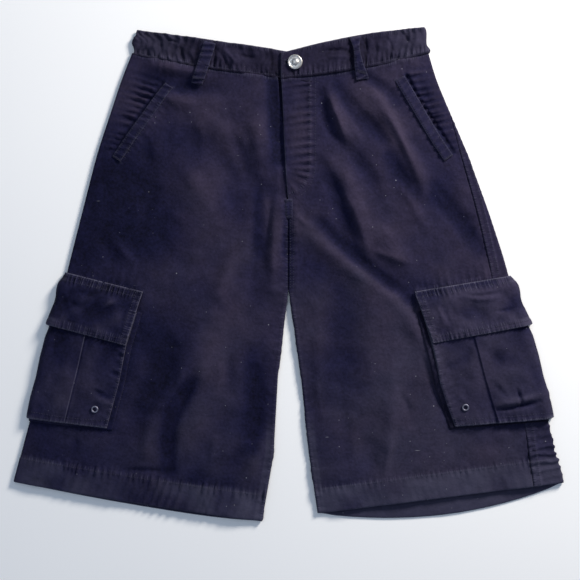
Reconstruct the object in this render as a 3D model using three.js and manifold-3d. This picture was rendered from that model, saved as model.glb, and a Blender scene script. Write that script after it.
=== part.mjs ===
// Cargo shorts laid flat, front up: cloth walls on one shared surface, seams 0.3 mm apart.
// Millimetres. +X is to the right of someone looking down at the front, +Y is toward the waist,
// and +Z is up from the table, which the back panels rest on at z = 0.

import * as THREE from "three";
import { mergeVertices } from "three/addons/utils/BufferGeometryUtils.js";
import Module from "manifold-3d";

// Cloth and construction
const cloth = 1.5;
const seamGap = 0.3;
const foldRadius = 2.6;
const billow = 1.5;
const billowReach = 28;
const foldReach = 16;
const outlineReach = 12;
const crotchLength = 20;
const hemDepth = 30;
const hemExtra = 0.45;
const hemStep = 1.5;
const edgeStep = 1.3;
const seamReach = 8;

// Waistband, fly, loops and trim
const bandDepth = 30;
const bandOut = 1.2;
const bandIn = -1.8;
const underlapDrop = 3;
const underlapLength = 27;
const flyDouble = 0.8;
const flyStitch = 27;
const flyFoot = 118;
const flyDip = { depth: 1.9, width: 6 };
const shieldThickness = 1.2;
const zipThickness = 1.6;
const loopThickness = 1.5;
const weltThickness = 1.5;
const buttonRadius = 8.5;
const buttonCentre = new THREE.Vector2(7.4, 241);
const shankRadius = 2.5;
const holeEyeRadius = 3.2;
const holeSlit = { length: 12, width: 2 };
const eyelet = { outer: 4.6, bore: 2.2, height: 1.1 };

// Sections across each half of the garment, down from the top of the waistband. Each runs from the
// inner edge (centre front, then inseam) to the outer fold. sag bends it toward the hem, and seam is
// how far the side seam lies round the outer fold: plus on top, minus underneath.
const stations = {
  left: [
    { down: -30, outerX: -173, outerY: 279, innerX: 0, innerY: 254, sag: 0, seam: -7 },
    { down: 0, outerX: -178, outerY: 252, innerX: 0, innerY: 224, sag: 3, seam: -7 },
    { down: 30, outerX: -190, outerY: 222, innerX: 0, innerY: 193, sag: 2, seam: -7 },
    { down: 120, outerX: -218, outerY: 137, innerX: 0, innerY: 100, sag: 0, seam: -7 },
    { down: 182, outerX: -234, outerY: 74, innerX: 0, innerY: 40, sag: 0, seam: -7 },
    { down: 241, outerX: -249, outerY: 15, innerX: 0, innerY: -17, sag: 0, seam: -7 },
    { down: 261, outerX: -254, outerY: -6, innerX: -3, innerY: -37, sag: 0, seam: -7 },
    { down: 339, outerX: -273, outerY: -80, innerX: -12, innerY: -115, sag: 0, seam: -7 },
    { down: 428, outerX: -294, outerY: -165, innerX: -17, innerY: -205, sag: 1, seam: -7 },
    { down: 502, outerX: -312.5, outerY: -235, innerX: -30, innerY: -280, sag: 2, seam: -7 },
  ],
  right: [
    { down: -30, outerX: 153, outerY: 281, innerX: 0, innerY: 254, sag: -4, seam: -7 },
    { down: 0, outerX: 159, outerY: 253, innerX: 0, innerY: 224, sag: 4, seam: -6 },
    { down: 30, outerX: 168, outerY: 222, innerX: 0, innerY: 193, sag: 2, seam: -4 },
    { down: 120, outerX: 204, outerY: 137, innerX: 0, innerY: 100, sag: 0, seam: 10 },
    { down: 182, outerX: 227, outerY: 74, innerX: 0, innerY: 40, sag: 0, seam: 15 },
    { down: 241, outerX: 245, outerY: 19, innerX: 0, innerY: -17, sag: 0, seam: 20 },
    { down: 261, outerX: 250, outerY: 0, innerX: 3, innerY: -37, sag: 0, seam: 21 },
    { down: 339, outerX: 272, outerY: -80, innerX: 14, innerY: -115, sag: 0, seam: 25 },
    { down: 428, outerX: 295, outerY: -165, innerX: 23, innerY: -203, sag: 0, seam: 29 },
    { down: 502, outerX: 313, outerY: -236, innerX: 33, innerY: -271, sag: 0, seam: 37 },
  ],
};
const waistSeam = 0;
const hemEnd = 502;
const crotch = 241;

// Largest folds of the fronts: a soft ridge (height above 0) or trough (below 0) along each curve.
const folds = [
  { from: [-158, 238], via: [-124, 231], to: [-93, 225], width: 16, height: 1.4 },
  { from: [-141, 225], via: [-112, 218], to: [-84, 210], width: 18, height: -1.4 },
  { from: [-161, 150], via: [-159, 137], to: [-162, 125], width: 16, height: -1.4 },
  { from: [-107, 199], via: [-80, 179], to: [-58, 154], width: 41, height: 1.5 },
  { from: [-47, 188], via: [-23, 154], to: [-22, 116], width: 30, height: 1.8 },
  { from: [-82, 142], via: [-61, 103], to: [-55, 68], width: 27, height: -1.5 },
  { from: [-118, 125], via: [-95, 91], to: [-84, 57], width: 34, height: 1.5 },
  { from: [-20, 92], via: [-34, 66], to: [-38, -17], width: 20, height: -2.6 },
  { from: [-12, 74], via: [-17, 40], to: [-17, -15], width: 18, height: 2.4 },
  { from: [-61, 28], via: [-72, -6], to: [-86, -40], width: 25, height: 2 },
  { from: [-86, -55], via: [-112, -125], to: [-139, -217], width: 30, height: -2.8 },
  { from: [-61, -74], via: [-84, -137], to: [-95, -199], width: 39, height: 2.6 },
  { from: [-141, -63], via: [-156, -120], to: [-160, -177], width: 30, height: 2.2 },
  { from: [-52, -196], via: [-58, -209], to: [-67, -219], width: 16, height: -1.4 },
  { from: [34, 211], via: [42, 188], to: [51, 160], width: 16, height: -1.6 },
  { from: [42, 214], via: [59, 186], to: [74, 152], width: 18, height: 2 },
  { from: [70, 207], via: [116, 160], to: [161, 71], width: 24, height: -2.2 },
  { from: [95, 211], via: [133, 165], to: [150, 120], width: 27, height: 1.8 },
  { from: [36, 135], via: [70, 85], to: [82, 15], width: 28, height: -2.6 },
  { from: [70, 125], via: [102, 74], to: [118, 11], width: 32, height: 2.2 },
  { from: [161, 108], via: [184, 74], to: [209, 42], width: 24, height: -1.6 },
  { from: [9, 60], via: [30, 42], to: [64, 28], width: 20, height: 1.8 },
  { from: [53, 24], via: [99, 8], to: [140, 3], width: 25, height: -1.8 },
  { from: [47, -28], via: [53, -120], to: [64, -199], width: 39, height: 1.5 },
  { from: [87, -51], via: [91, -131], to: [84, -211], width: 30, height: -1.5 },
  { from: [121, -97], via: [118, -177], to: [108, -230], width: 27, height: 2 },
];

// How far each front stops short of the centre front line beside the fly (plus) or laps over it.
const flyCuts = {
  left: [
    { down: 0, cut: 12.5 },
    { down: 50, cut: 9 },
    { down: 75, cut: 6.2 },
    { down: 110, cut: 3.6 },
    { down: 128, cut: 2.1 },
    { down: 146, cut: 0.15 },
    { down: hemEnd, cut: 0 },
  ],
  right: [
    { down: 0, cut: -8.5 },
    { down: 60, cut: -5.5 },
    { down: 110, cut: -3 },
    { down: 128, cut: -1.5 },
    { down: 138, cut: 0.15 },
    { down: hemEnd, cut: 0 },
  ],
};

const navy = { color: 0x23213a, roughness: 0.86, metalness: 0 };
const navyPale = { color: 0x2e2b45, roughness: 0.84, metalness: 0 };
const nickel = { color: 0x9b9a98, roughness: 0.34, metalness: 1 };
const darkTape = { color: 0x17162a, roughness: 0.9, metalness: 0 };

const shorts = new THREE.Group();
const wasm = await Module();
wasm.setup();

function smooth(value) {
  const t = Math.min(Math.max(value, 0), 1);
  return t * t * (3 - 2 * t);
}

function mix(a, b, t) {
  return a + (b - a) * t;
}

// Reads every column of a table at one distance down, straight between its rows.
function readRow(rows, down) {
  let index = rows.findIndex((row) => row.down > down) - 1;
  if (index < 0) {
    index = down < rows[0].down ? 0 : rows.length - 2;
  }
  const [upper, lower] = [rows[index], rows[index + 1]];
  const t = (down - upper.down) / (lower.down - upper.down);
  const row = {};
  for (const name of Object.keys(upper)) {
    row[name] = mix(upper[name], lower[name], t);
  }
  return row;
}

// A section of one half: where it starts, its direction and its length. The outline is smoothed
// over neighbouring rows so that it has no corners. leg grows from 0 to 1 just below the crotch,
// where the inner edge turns from the centre seam into the fold of the inseam.
function sectionAt(side, down) {
  const rows = stations[side];
  const reach = Math.max(0, Math.min(outlineReach, down - waistSeam, hemEnd - down));
  const above = readRow(rows, down - reach);
  const here = readRow(rows, down);
  const below = readRow(rows, down + reach);
  const row = {};
  for (const name of Object.keys(here)) {
    row[name] = (above[name] + 2 * here[name] + below[name]) / 4;
  }
  row.leg = smooth((down - crotch) / crotchLength);
  if (down > crotch + 2) {
    row.innerX = here.innerX;
    row.innerY = here.innerY;
  } else {
    row.innerX = side === "left" ? -seamGap / 2 : seamGap / 2;
  }
  row.along = new THREE.Vector2(row.outerX - row.innerX, row.outerY - row.innerY);
  row.length = row.along.length();
  row.along.normalize();
  return row;
}

// The sum of all folds at one place in plan.
function foldHeight(x, y) {
  let total = 0;
  for (const fold of folds) {
    let nearest = Infinity;
    let place = 0;
    for (let step = 0; step <= 12; step += 1) {
      const t = step / 12;
      const bendX = (1 - t) ** 2 * fold.from[0] + 2 * t * (1 - t) * fold.via[0] + t * t * fold.to[0];
      const bendY = (1 - t) ** 2 * fold.from[1] + 2 * t * (1 - t) * fold.via[1] + t * t * fold.to[1];
      const distance = Math.hypot(x - bendX, y - bendY);
      if (distance < nearest) {
        nearest = distance;
        place = t;
      }
    }
    const across = Math.exp(-((nearest / (0.5 * fold.width)) ** 2));
    const fade = 0.35 + 0.65 * smooth(Math.min(place, 1 - place) * 3);
    total += fold.height * across * fade;
  }
  return total;
}

// One point of the garment's outer skin. turn counts round the section: 0 to 1 is the inner fold,
// 1 to 2 the top, 2 to 4 the outer fold, 4 to 5 the underside and 5 to 6 the inner fold again.
function skinPoint(side, down, turn) {
  const row = sectionAt(side, down);
  const flat = row.length - 2 * foldRadius;
  const quarter = Math.PI / 2;
  let run;
  let z;
  if (turn < 2) {
    let drop = 0;
    if (turn < 0) {
      run = turn * foldRadius;
    } else if (turn < 1) {
      const angle = quarter * (1 - turn);
      run = foldRadius * (1 - Math.sin(angle));
      drop = row.leg * foldRadius * (1 - Math.cos(angle));
    } else {
      run = foldRadius + (turn - 1) * flat;
    }
    const toOuter = row.length - foldRadius - run;
    const inner = mix(1, smooth((run - foldRadius) / billowReach), row.leg);
    const innerFold = mix(1, smooth((run - foldRadius) / foldReach), row.leg);
    const place = planPoint(row, run);
    z = 2 * foldRadius - drop + billow * inner * smooth(toOuter / billowReach);
    z += foldHeight(place.x, place.y) * innerFold * smooth(toOuter / foldReach);
  } else if (turn < 4) {
    const angle = quarter * (turn - 2);
    run = row.length - foldRadius + foldRadius * Math.sin(angle);
    z = foldRadius + foldRadius * Math.cos(angle);
  } else if (turn < 5) {
    run = row.length - foldRadius - (turn - 4) * flat;
    z = 0;
  } else {
    const angle = quarter * (turn - 5);
    run = foldRadius * (1 - Math.sin(angle));
    z = row.leg * foldRadius * (1 - Math.cos(angle));
  }
  const place = planPoint(row, run);
  return new THREE.Vector3(place.x, place.y, z);
}

function planPoint(row, run) {
  const t = run / row.length;
  const bend = 4 * row.sag * t * (1 - t) * (t > 0 ? 1 : 0);
  return new THREE.Vector2(row.innerX + row.along.x * run, row.innerY + row.along.y * run - bend);
}

// The skin moved along its own normal: plus is away from the garment's inside.
function offsetPoint(side, down, turn, distance) {
  const point = skinPoint(side, down, turn);
  if (distance === 0) {
    return point;
  }
  const step = 0.02;
  const around = skinPoint(side, down, turn + step).sub(skinPoint(side, down, turn - step));
  const length = skinPoint(side, down + 1, turn).sub(skinPoint(side, down - 1, turn));
  const normal = side === "left" ? around.cross(length) : length.cross(around);
  point.addScaledVector(normal.normalize(), distance);
  point.z = Math.max(point.z, 0);
  return point;
}

// The turn of a place that lies a given way round from the outermost line of the outer fold.
function turnAtSeam(row, seam) {
  const arc = foldRadius * Math.PI / 2;
  const flat = row.length - 2 * foldRadius;
  if (seam > arc) {
    return 2 - (seam - arc) / flat;
  }
  if (seam < -arc) {
    return 4 + (-seam - arc) / flat;
  }
  return 3 - seam / arc;
}

// The turn of a place on the top that lies a given way out from the inner edge.
function turnAtRun(row, run) {
  if (run < 0) {
    return run / foldRadius;
  }
  if (run < foldRadius) {
    return 1 - Math.asin(1 - run / foldRadius) / (Math.PI / 2);
  }
  return 1 + (run - foldRadius) / (row.length - 2 * foldRadius);
}

// Finds a place in plan on one half: how far down it is, and its turn on the top.
function locate(side, x, y) {
  let low = -60;
  let high = hemEnd + 60;
  for (let step = 0; step < 40; step += 1) {
    const middle = (low + high) / 2;
    const row = sectionAt(side, middle);
    const offsetX = x - row.innerX;
    const offsetY = y - row.innerY;
    const cross = (row.along.x * offsetY - row.along.y * offsetX) * (side === "left" ? -1 : 1);
    if (cross > 0) {
      high = middle;
    } else {
      low = middle;
    }
  }
  const down = (low + high) / 2;
  const row = sectionAt(side, down);
  const run = (x - row.innerX) * row.along.x + (y - row.innerY) * row.along.y;
  return { down, turn: turnAtRun(row, run) };
}

// A closed wall between an outer and an inner grid of points.
function wallGeometry(outer, inner) {
  const rows = outer.length;
  const columns = outer[0].length;
  const positions = [];
  const indices = [];
  for (const grid of [outer, inner]) {
    for (const line of grid) {
      for (const point of line) {
        positions.push(point.x, point.y, point.z);
      }
    }
  }
  const at = (layer, i, j) => layer * rows * columns + i * columns + j;
  const quad = (a, b, c, d) => indices.push(a, b, c, a, c, d);
  for (let i = 0; i < rows - 1; i += 1) {
    for (let j = 0; j < columns - 1; j += 1) {
      quad(at(0, i, j), at(0, i + 1, j), at(0, i + 1, j + 1), at(0, i, j + 1));
      quad(at(1, i, j), at(1, i, j + 1), at(1, i + 1, j + 1), at(1, i + 1, j));
    }
  }
  for (let i = 0; i < rows - 1; i += 1) {
    quad(at(0, i, 0), at(1, i, 0), at(1, i + 1, 0), at(0, i + 1, 0));
    const last = columns - 1;
    quad(at(0, i, last), at(0, i + 1, last), at(1, i + 1, last), at(1, i, last));
  }
  for (let j = 0; j < columns - 1; j += 1) {
    quad(at(0, 0, j), at(0, 0, j + 1), at(1, 0, j + 1), at(1, 0, j));
    const last = rows - 1;
    quad(at(0, last, j), at(1, last, j), at(1, last, j + 1), at(0, last, j + 1));
  }
  return outwardGeometry(positions, indices);
}

// Turns every face outward, by the sign of the enclosed volume.
function outwardGeometry(positions, indices) {
  let volume = 0;
  const corner = (index) => new THREE.Vector3().fromArray(positions, 3 * index);
  for (let face = 0; face < indices.length; face += 3) {
    const [a, b, c] = [0, 1, 2].map((offset) => corner(indices[face + offset]));
    volume += a.dot(b.cross(c));
  }
  if (volume < 0) {
    indices.reverse();
  }
  const geometry = new THREE.BufferGeometry();
  geometry.setAttribute("position", new THREE.Float32BufferAttribute(positions, 3));
  geometry.setIndex(indices);
  return geometry;
}

function addPiece(name, geometry, finish) {
  const mesh = new THREE.Mesh(geometry, new THREE.MeshStandardMaterial(finish));
  mesh.name = name;
  shorts.add(mesh);
  return mesh;
}

function spread(from, to, count) {
  return Array.from({ length: count + 1 }, (unused, index) => mix(from, to, index / count));
}

// A cloth piece over the skin. place(i, j) gives { side, down, turn, outer, inner } of each point.
function clothPiece(name, rowCount, columnCount, place, finish) {
  const outer = [];
  const inner = [];
  for (let i = 0; i < rowCount; i += 1) {
    outer.push([]);
    inner.push([]);
    for (let j = 0; j < columnCount; j += 1) {
      const spot = place(i, j);
      outer[i].push(offsetPoint(spot.side, spot.down, spot.turn, spot.outer));
      inner[i].push(offsetPoint(spot.side, spot.down, spot.turn, spot.inner));
    }
  }
  return addPiece(name, wallGeometry(outer, inner), finish);
}

// Distances down for the long panels: close rows at the waist seam, the crotch and the hem.
function panelRows() {
  const upper = spread(waistSeam + seamGap / 2, crotch, 14);
  const middle = [crotch + 4, crotch + 10, crotch + 20];
  const lower = spread(crotch + 36, hemEnd - hemDepth, 12);
  const hem = [hemEnd - hemDepth + hemStep, hemEnd - hemDepth / 2, hemEnd];
  return [...upper, ...middle, ...lower, ...hem];
}

// How much thicker a panel is on each side where its hem is turned up.
function hemThickness(down) {
  return smooth((down - hemEnd + hemDepth) / hemStep) * hemExtra;
}

// Fronts: from the fly or inseam, over the top and round the outer fold as far as the side seam.
const panelDowns = panelRows();
const inseamTurn = seamGap / 2 / (foldRadius * Math.PI / 2);
const frontTopSteps = 14;
const frontFoldSteps = 5;
for (const side of ["left", "right"]) {
  clothPiece(`front_${side}`, panelDowns.length, 4 + frontTopSteps + frontFoldSteps, (i, j) => {
    const down = panelDowns[i];
    const row = sectionAt(side, down);
    const flat = row.length - 2 * foldRadius;
    const cut = readRow(flyCuts[side], down).cut;
    const onLeg = down > crotch;
    const end = turnAtSeam(row, row.seam + seamGap / 2);
    const topStart = turnAtRun(row, onLeg ? foldRadius : cut + 3 * edgeStep);
    const topEnd = Math.min(2, end - seamReach / flat);
    let turn;
    if (j < 3) {
      turn = onLeg ? mix(inseamTurn, 1, j / 3) : turnAtRun(row, cut + edgeStep * j);
    } else if (j < 3 + frontTopSteps) {
      turn = mix(topStart, topEnd, (j - 3) / frontTopSteps);
    } else {
      turn = mix(topEnd, end, (j - 3 - frontTopSteps) / frontFoldSteps);
    }
    let outer = hemThickness(down);
    let inner = -cloth - hemThickness(down);
    const run = foldRadius + (turn - 1) * flat;
    if (side === "right") {
      outer += flyDouble * smooth((flyStitch - run) / 3) * smooth((flyFoot - down) / 10);
    } else {
      const nearEdge = smooth(1 - (run - cut) / flyDip.width);
      const dip = flyDip.depth * nearEdge * smooth(cut / flyDip.width);
      outer -= dip;
      inner -= dip;
    }
    return { side, down, turn, outer, inner };
  }, navy);
}

// Backs: from the side seam, round the outer fold, flat on the table and in to the centre back seam
// or the inseam. Each back hem hangs out past the front hem by its own drop.
const backDrops = { left: { drop: 3, peak: 0.75 }, right: { drop: 20.5, peak: 0.5 } };
const backFoldSteps = 5;
const backFlatSteps = 4;
const felledWidth = 9.2;
const felledRise = 0.9;
const spillRise = { start: 380, length: 110 };
const underPocket = { start: 248, end: 440, soft: 8 };
for (const side of ["left", "right"]) {
  const outlet = backDrops[side];
  clothPiece(`back_${side}`, panelDowns.length, 8 + backFoldSteps + backFlatSteps, (i, j) => {
    const level = panelDowns[i];
    const row = sectionAt(side, level);
    const arc = foldRadius * Math.PI / 2;
    const seam = row.seam - seamGap / 2;
    const topEnd = Math.min(arc, seam - 1.2);
    const foldEnd = Math.min(-arc, topEnd - 1.8);
    const wide = seam - topEnd;
    const topPlaces = [0, Math.min(1, 0.1 * wide), Math.min(felledWidth, 0.6 * wide),
      Math.min(felledWidth + 1, 0.8 * wide)];
    let turn;
    if (j < 4) {
      turn = turnAtSeam(row, seam - topPlaces[j]);
    } else if (j < 4 + backFoldSteps) {
      turn = turnAtSeam(row, mix(topEnd, foldEnd, (j - 4) / backFoldSteps));
    } else if (j < 4 + backFoldSteps + backFlatSteps) {
      turn = mix(turnAtSeam(row, foldEnd), 5, (j - 4 - backFoldSteps) / backFlatSteps);
    } else {
      turn = mix(5, 6 - inseamTurn, (j - 4 - backFoldSteps - backFlatSteps) / 3);
    }
    const across = turn < 4 ? 1 : Math.min(turn - 4, 1);
    const share = across < outlet.peak
      ? 0.5 * across / outlet.peak
      : 0.5 + 0.5 * (across - outlet.peak) / (1 - outlet.peak);
    const bulge = Math.sin(Math.PI * share) ** 0.8;
    const falling = smooth((level - spillRise.start) / spillRise.length);
    const spill = turn < 4 ? 0 : outlet.drop * bulge * falling;
    const covered = smooth((level - underPocket.start) / underPocket.soft);
    const clear = covered * (1 - smooth((level - underPocket.end) / underPocket.soft));
    const felled = (j === 1 || j === 2) && wide > 8 ? felledRise * (1 - clear) : 0;
    const thick = hemThickness(level);
    const outer = turn < 4 ? thick + felled : 0;
    return { side, down: level + spill, turn, outer, inner: -cloth - thick };
  }, navy);
}

// Waistband: two front lengths that lap at the centre front, and the back length under them.
const bandDowns = [-bandDepth, -bandDepth + 2, -bandDepth / 2, -2 - seamGap / 2, -seamGap / 2];
const lapSlopes = { left: { run: 21, length: 10 }, right: { run: 30, length: 12 } };
const lapRise = 0.3;
const underlapInside = 2.2;
const backBandIn = -2.4;
const bandRuns = {
  left: [-underlapLength, -14, 0, 9.6, 12, 15, 20, 24, 40, 60, 80, 100, 120, 140],
  right: [-9, -6, 0, 8, 16, 24, 32, 48, 64, 80, 96, 112, 128],
};
for (const side of ["left", "right"]) {
  const runs = bandRuns[side];
  const columns = runs.length + 8;
  const place = (i, j) => {
    const down = bandDowns[i];
    const row = sectionAt(side, down);
    const end = turnAtSeam(row, row.seam + seamGap / 2);
    const turn = j < runs.length ? turnAtRun(row, runs[j]) : mix(2, end, (j - runs.length) / 7);
    const slope = lapSlopes[side];
    const lap = smooth((slope.run - runs[Math.min(j, runs.length - 1)]) / slope.length);
    const outer = bandOut + lap * (side === "left" ? -underlapDrop : lapRise);
    const inner = bandIn + lap * (side === "left" ? -underlapInside : lapRise);
    return { side, down, turn, outer, inner };
  };
  clothPiece(`waistband_${side}`, bandDowns.length, columns, place, navyPale);
}

const backBandSteps = 12;
clothPiece("waistband_back", bandDowns.length, 2 * backBandSteps + 2, (i, j) => {
  const side = j <= backBandSteps ? "left" : "right";
  const step = side === "left" ? j : 2 * backBandSteps + 1 - j;
  const row = sectionAt(side, bandDowns[i]);
  const turn = mix(turnAtSeam(row, row.seam - seamGap / 2), 6 - inseamTurn, step / backBandSteps);
  return { side, down: bandDowns[i], turn, outer: 0, inner: backBandIn };
}, navyPale);

// Buttonhole: a slit with a round eye, cut through the overlap end of the band.
function solidOf(geometry) {
  const bare = geometry.clone();
  bare.deleteAttribute("normal");
  bare.deleteAttribute("uv");
  const merged = mergeVertices(bare, 1e-4);
  const vertProperties = merged.attributes.position.array;
  const triVerts = new Uint32Array(merged.index.array);
  return new wasm.Manifold(new wasm.Mesh({ numProp: 3, vertProperties, triVerts }));
}

function geometryOf(solid) {
  const mesh = solid.getMesh();
  const geometry = new THREE.BufferGeometry();
  const positions = new Float32Array(mesh.vertProperties);
  geometry.setAttribute("position", new THREE.Float32BufferAttribute(positions, 3));
  geometry.setIndex(Array.from(mesh.triVerts));
  return geometry;
}

const eye = new THREE.CylinderGeometry(holeEyeRadius, holeEyeRadius, 20, 16);
eye.rotateX(Math.PI / 2).translate(buttonCentre.x, buttonCentre.y, 5);
const slit = new THREE.BoxGeometry(holeSlit.length, holeSlit.width, 20);
slit.translate(buttonCentre.x - holeSlit.length / 2, buttonCentre.y, 5);
const overlapBand = shorts.getObjectByName("waistband_right");
const cutBand = solidOf(overlapBand.geometry).subtract(solidOf(eye)).subtract(solidOf(slit));
overlapBand.geometry = geometryOf(cutBand);

// Shank button: its shank stands on the underlap and comes up through the buttonhole.
function turned(points, segments) {
  const profile = points.map(([radius, height]) => new THREE.Vector2(radius, height));
  return new THREE.LatheGeometry(profile, segments).rotateX(Math.PI / 2);
}
const shankFoot = 5.2;
const capFoot = 8.6;
const button = turned([[0, shankFoot], [shankRadius, shankFoot], [shankRadius, capFoot],
  [buttonRadius - 1, capFoot], [buttonRadius, capFoot + 1], [buttonRadius, capFoot + 1.8],
  [buttonRadius - 1.2, capFoot + 2.8], [buttonRadius - 2.2, capFoot + 2.5],
  [3.2, capFoot + 3.3], [0, capFoot + 3.6]], 28);
addPiece("button", button, nickel).position.set(buttonCentre.x, buttonCentre.y, 0);

// Fly underlap, zip and the tacked stub at the foot of the fly.
function flatPlate(corners, bottom, thickness) {
  const shape = new THREE.Shape(corners.map(([x, y]) => new THREE.Vector2(x, y)));
  const plate = new THREE.ExtrudeGeometry(shape, { depth: thickness, bevelEnabled: false });
  return plate.translate(0, 0, bottom);
}
const shieldBottom = cloth + seamGap;
const zipBottom = shieldBottom + shieldThickness + seamGap;
const shield = [[-25, 219.5], [20, 219.5], [20, 118], [8, 100], [-14, 100], [-25, 116]];
addPiece("fly_shield", flatPlate(shield, shieldBottom, shieldThickness), darkTape);
const zip = [[-1, 219], [11, 219], [11, 112], [-1, 104]];
addPiece("fly_zip", flatPlate(zip, zipBottom, zipThickness), darkTape);

// A strip that lies on the skin along a line in plan, one table row for each section of it.
function strip(name, side, rows, columns, finish) {
  clothPiece(name, rows.length, columns + 1, (i, j) => {
    const row = rows[i];
    const t = j / columns;
    const spot = locate(side, mix(row.innerX, row.outerX, t), mix(row.innerY, row.outerY, t));
    return { side, ...spot, outer: row.outer, inner: row.inner };
  }, finish);
}

// The two edges of a straight strip, from its middle line and its width.
function stripRows(rows) {
  return rows.map((row, index) => {
    const before = rows[Math.max(index - 1, 0)];
    const after = rows[Math.min(index + 1, rows.length - 1)];
    const length = new THREE.Vector2(after.x - before.x, after.y - before.y).normalize();
    const halfX = -length.y * row.width / 2;
    const halfY = length.x * row.width / 2;
    return {
      innerX: row.x - halfX, innerY: row.y - halfY, outerX: row.x + halfX, outerY: row.y + halfY,
      outer: row.outer, inner: row.inner,
    };
  });
}

strip("fly_tuck", "right", stripRows([
  { x: 0.6, y: 86, width: 9, inner: 0.3, outer: 1.3 },
  { x: 0.6, y: 75, width: 9, inner: 0.4, outer: 1.8 },
  { x: 0.6, y: 64, width: 9, inner: 0.3, outer: 1.3 },
]), 3, navyPale);

// Belt loops: sewn at the band's top edge and just under it. The right one is twisted and narrow.
const bandTop = bandOut + seamGap;
strip("belt_loop_left", "left", stripRows([
  { x: -89, y: 264, width: 13.5, inner: bandTop, outer: bandTop + loopThickness },
  { x: -90, y: 260, width: 13.5, inner: bandTop + 0.5, outer: bandTop + 0.5 + loopThickness },
  { x: -96, y: 243, width: 13.5, inner: bandTop + 1.4, outer: bandTop + 1.4 + loopThickness },
  { x: -101, y: 228, width: 13.5, inner: bandTop + 0.4, outer: bandTop + 0.4 + loopThickness },
  { x: -103, y: 223, width: 13, inner: bandTop, outer: bandTop + loopThickness + 0.6 },
  { x: -104, y: 219, width: 12.5, inner: 1.2, outer: 2.9 },
]), 3, navyPale);
strip("belt_loop_right", "right", stripRows([
  { x: 75.5, y: 266, width: 13.5, inner: bandTop, outer: bandTop + loopThickness },
  { x: 76.5, y: 258, width: 7, inner: bandTop + 0.6, outer: bandTop + 3.4 },
  { x: 78, y: 250, width: 7.5, inner: bandTop + 1.4, outer: bandTop + 4.4 },
  { x: 80, y: 240, width: 10.5, inner: bandTop + 1.4, outer: bandTop + 3.6 },
  { x: 83, y: 230, width: 14, inner: bandTop + 0.2, outer: bandTop + 0.2 + loopThickness },
  { x: 84, y: 224.5, width: 14.5, inner: 1.2, outer: 3.2 },
]), 3, navyPale);

// Slant pocket welts: a narrow doubled strip inside each opening.
const weltIn = 0.4;
const weltOut = weltIn + weltThickness;
strip("welt_left", "left", [
  { innerX: -131, innerY: 214, outerX: -140, outerY: 220, inner: weltIn, outer: weltOut },
  { innerX: -151, innerY: 186, outerX: -161, outerY: 191, inner: weltIn, outer: weltOut },
  { innerX: -172, innerY: 156, outerX: -182, outerY: 162, inner: weltIn, outer: weltOut },
  { innerX: -190, innerY: 128, outerX: -200, outerY: 135, inner: weltIn, outer: weltOut },
], 2, navyPale);
strip("welt_right", "right", [
  { innerX: 121, innerY: 222, outerX: 131, outerY: 228, inner: weltIn, outer: weltOut },
  { innerX: 143, innerY: 184, outerX: 153, outerY: 190, inner: weltIn, outer: weltOut },
  { innerX: 163, innerY: 149, outerX: 174, outerY: 155, inner: weltIn, outer: weltOut },
  { innerX: 176, innerY: 129, outerX: 187, outerY: 136, inner: weltIn, outer: weltOut },
], 2, navyPale);

// Cargo pockets. inner edge points run from the top to the foot in plan; outerDown is where each
// edge meets the outer fold. puff is how far the pocket face stands off at the fold.
const cargo = {
  left: {
    flapTop: { x: -165, y: -19, outerDown: 253 }, flapFoot: { x: -184, y: -80, outerDown: 316 },
    edge: [{ down: 0, x: -172, y: -43 }, { down: 0.3, x: -184, y: -81 },
      { down: 0.6, x: -192, y: -122 }, { down: 1, x: -206, y: -173 }],
    topDown: 279, footDown: 426, faceOut: 4, puff: 0.9, pleat: 0.56,
  },
  right: {
    flapTop: { x: 143, y: -19, outerDown: 262 }, flapFoot: { x: 161, y: -78, outerDown: 318 },
    edge: [{ down: 0, x: 151, y: -42 }, { down: 0.3, x: 162, y: -83 },
      { down: 0.6, x: 172, y: -124 }, { down: 1, x: 189, y: -172 }],
    topDown: 279, footDown: 426, faceOut: 4.2, puff: 3.6, pleat: 0.47,
  },
};
const gussetOut = 1.7;
const faceIn = gussetOut + seamGap;
const faceThickness = 2;
const flapThickness = 2.3;
const pleatStep = 0.9;
const pleatReach = 0.13;
const wrapEnd = 3.55;
const wrapSteps = 5;
const faceSwell = 0.8;
const gussetReach = { inner: 6, foot: 3 };
const rolledEdge = { face: 0.6, flap: 0.7 };
const flapBreak = 0.26;

// The face's outer offset at a share t of its width, 0 at the inner edge and 1 at the fold.
function faceOffset(pocket, t, share) {
  const swell = Math.sin(Math.PI * Math.min(Math.max(share, 0), 1)) * faceSwell;
  const puff = pocket.puff * mix(0.25, 1, smooth(share * 2.2));
  return pocket.faceOut + puff * smooth(t) + swell * smooth(t * 3);
}

function cargoPiece(name, side, shares, topColumns, edges, offsets, finish) {
  clothPiece(name, shares.length, topColumns.length + wrapSteps, (i, j) => {
    const { inner, outerDown } = edges(shares[i]);
    const start = locate(side, inner.x, inner.y);
    const t = j < topColumns.length ? topColumns[j] : 1;
    const down = mix(start.down, outerDown, t);
    const wrap = Math.max(0, j - topColumns.length + 1) / wrapSteps;
    const turn = j < topColumns.length ? mix(start.turn, 2, t) : mix(2, wrapEnd, wrap);
    return { side, down, turn, ...offsets(shares[i], t) };
  }, finish);
}

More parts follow.
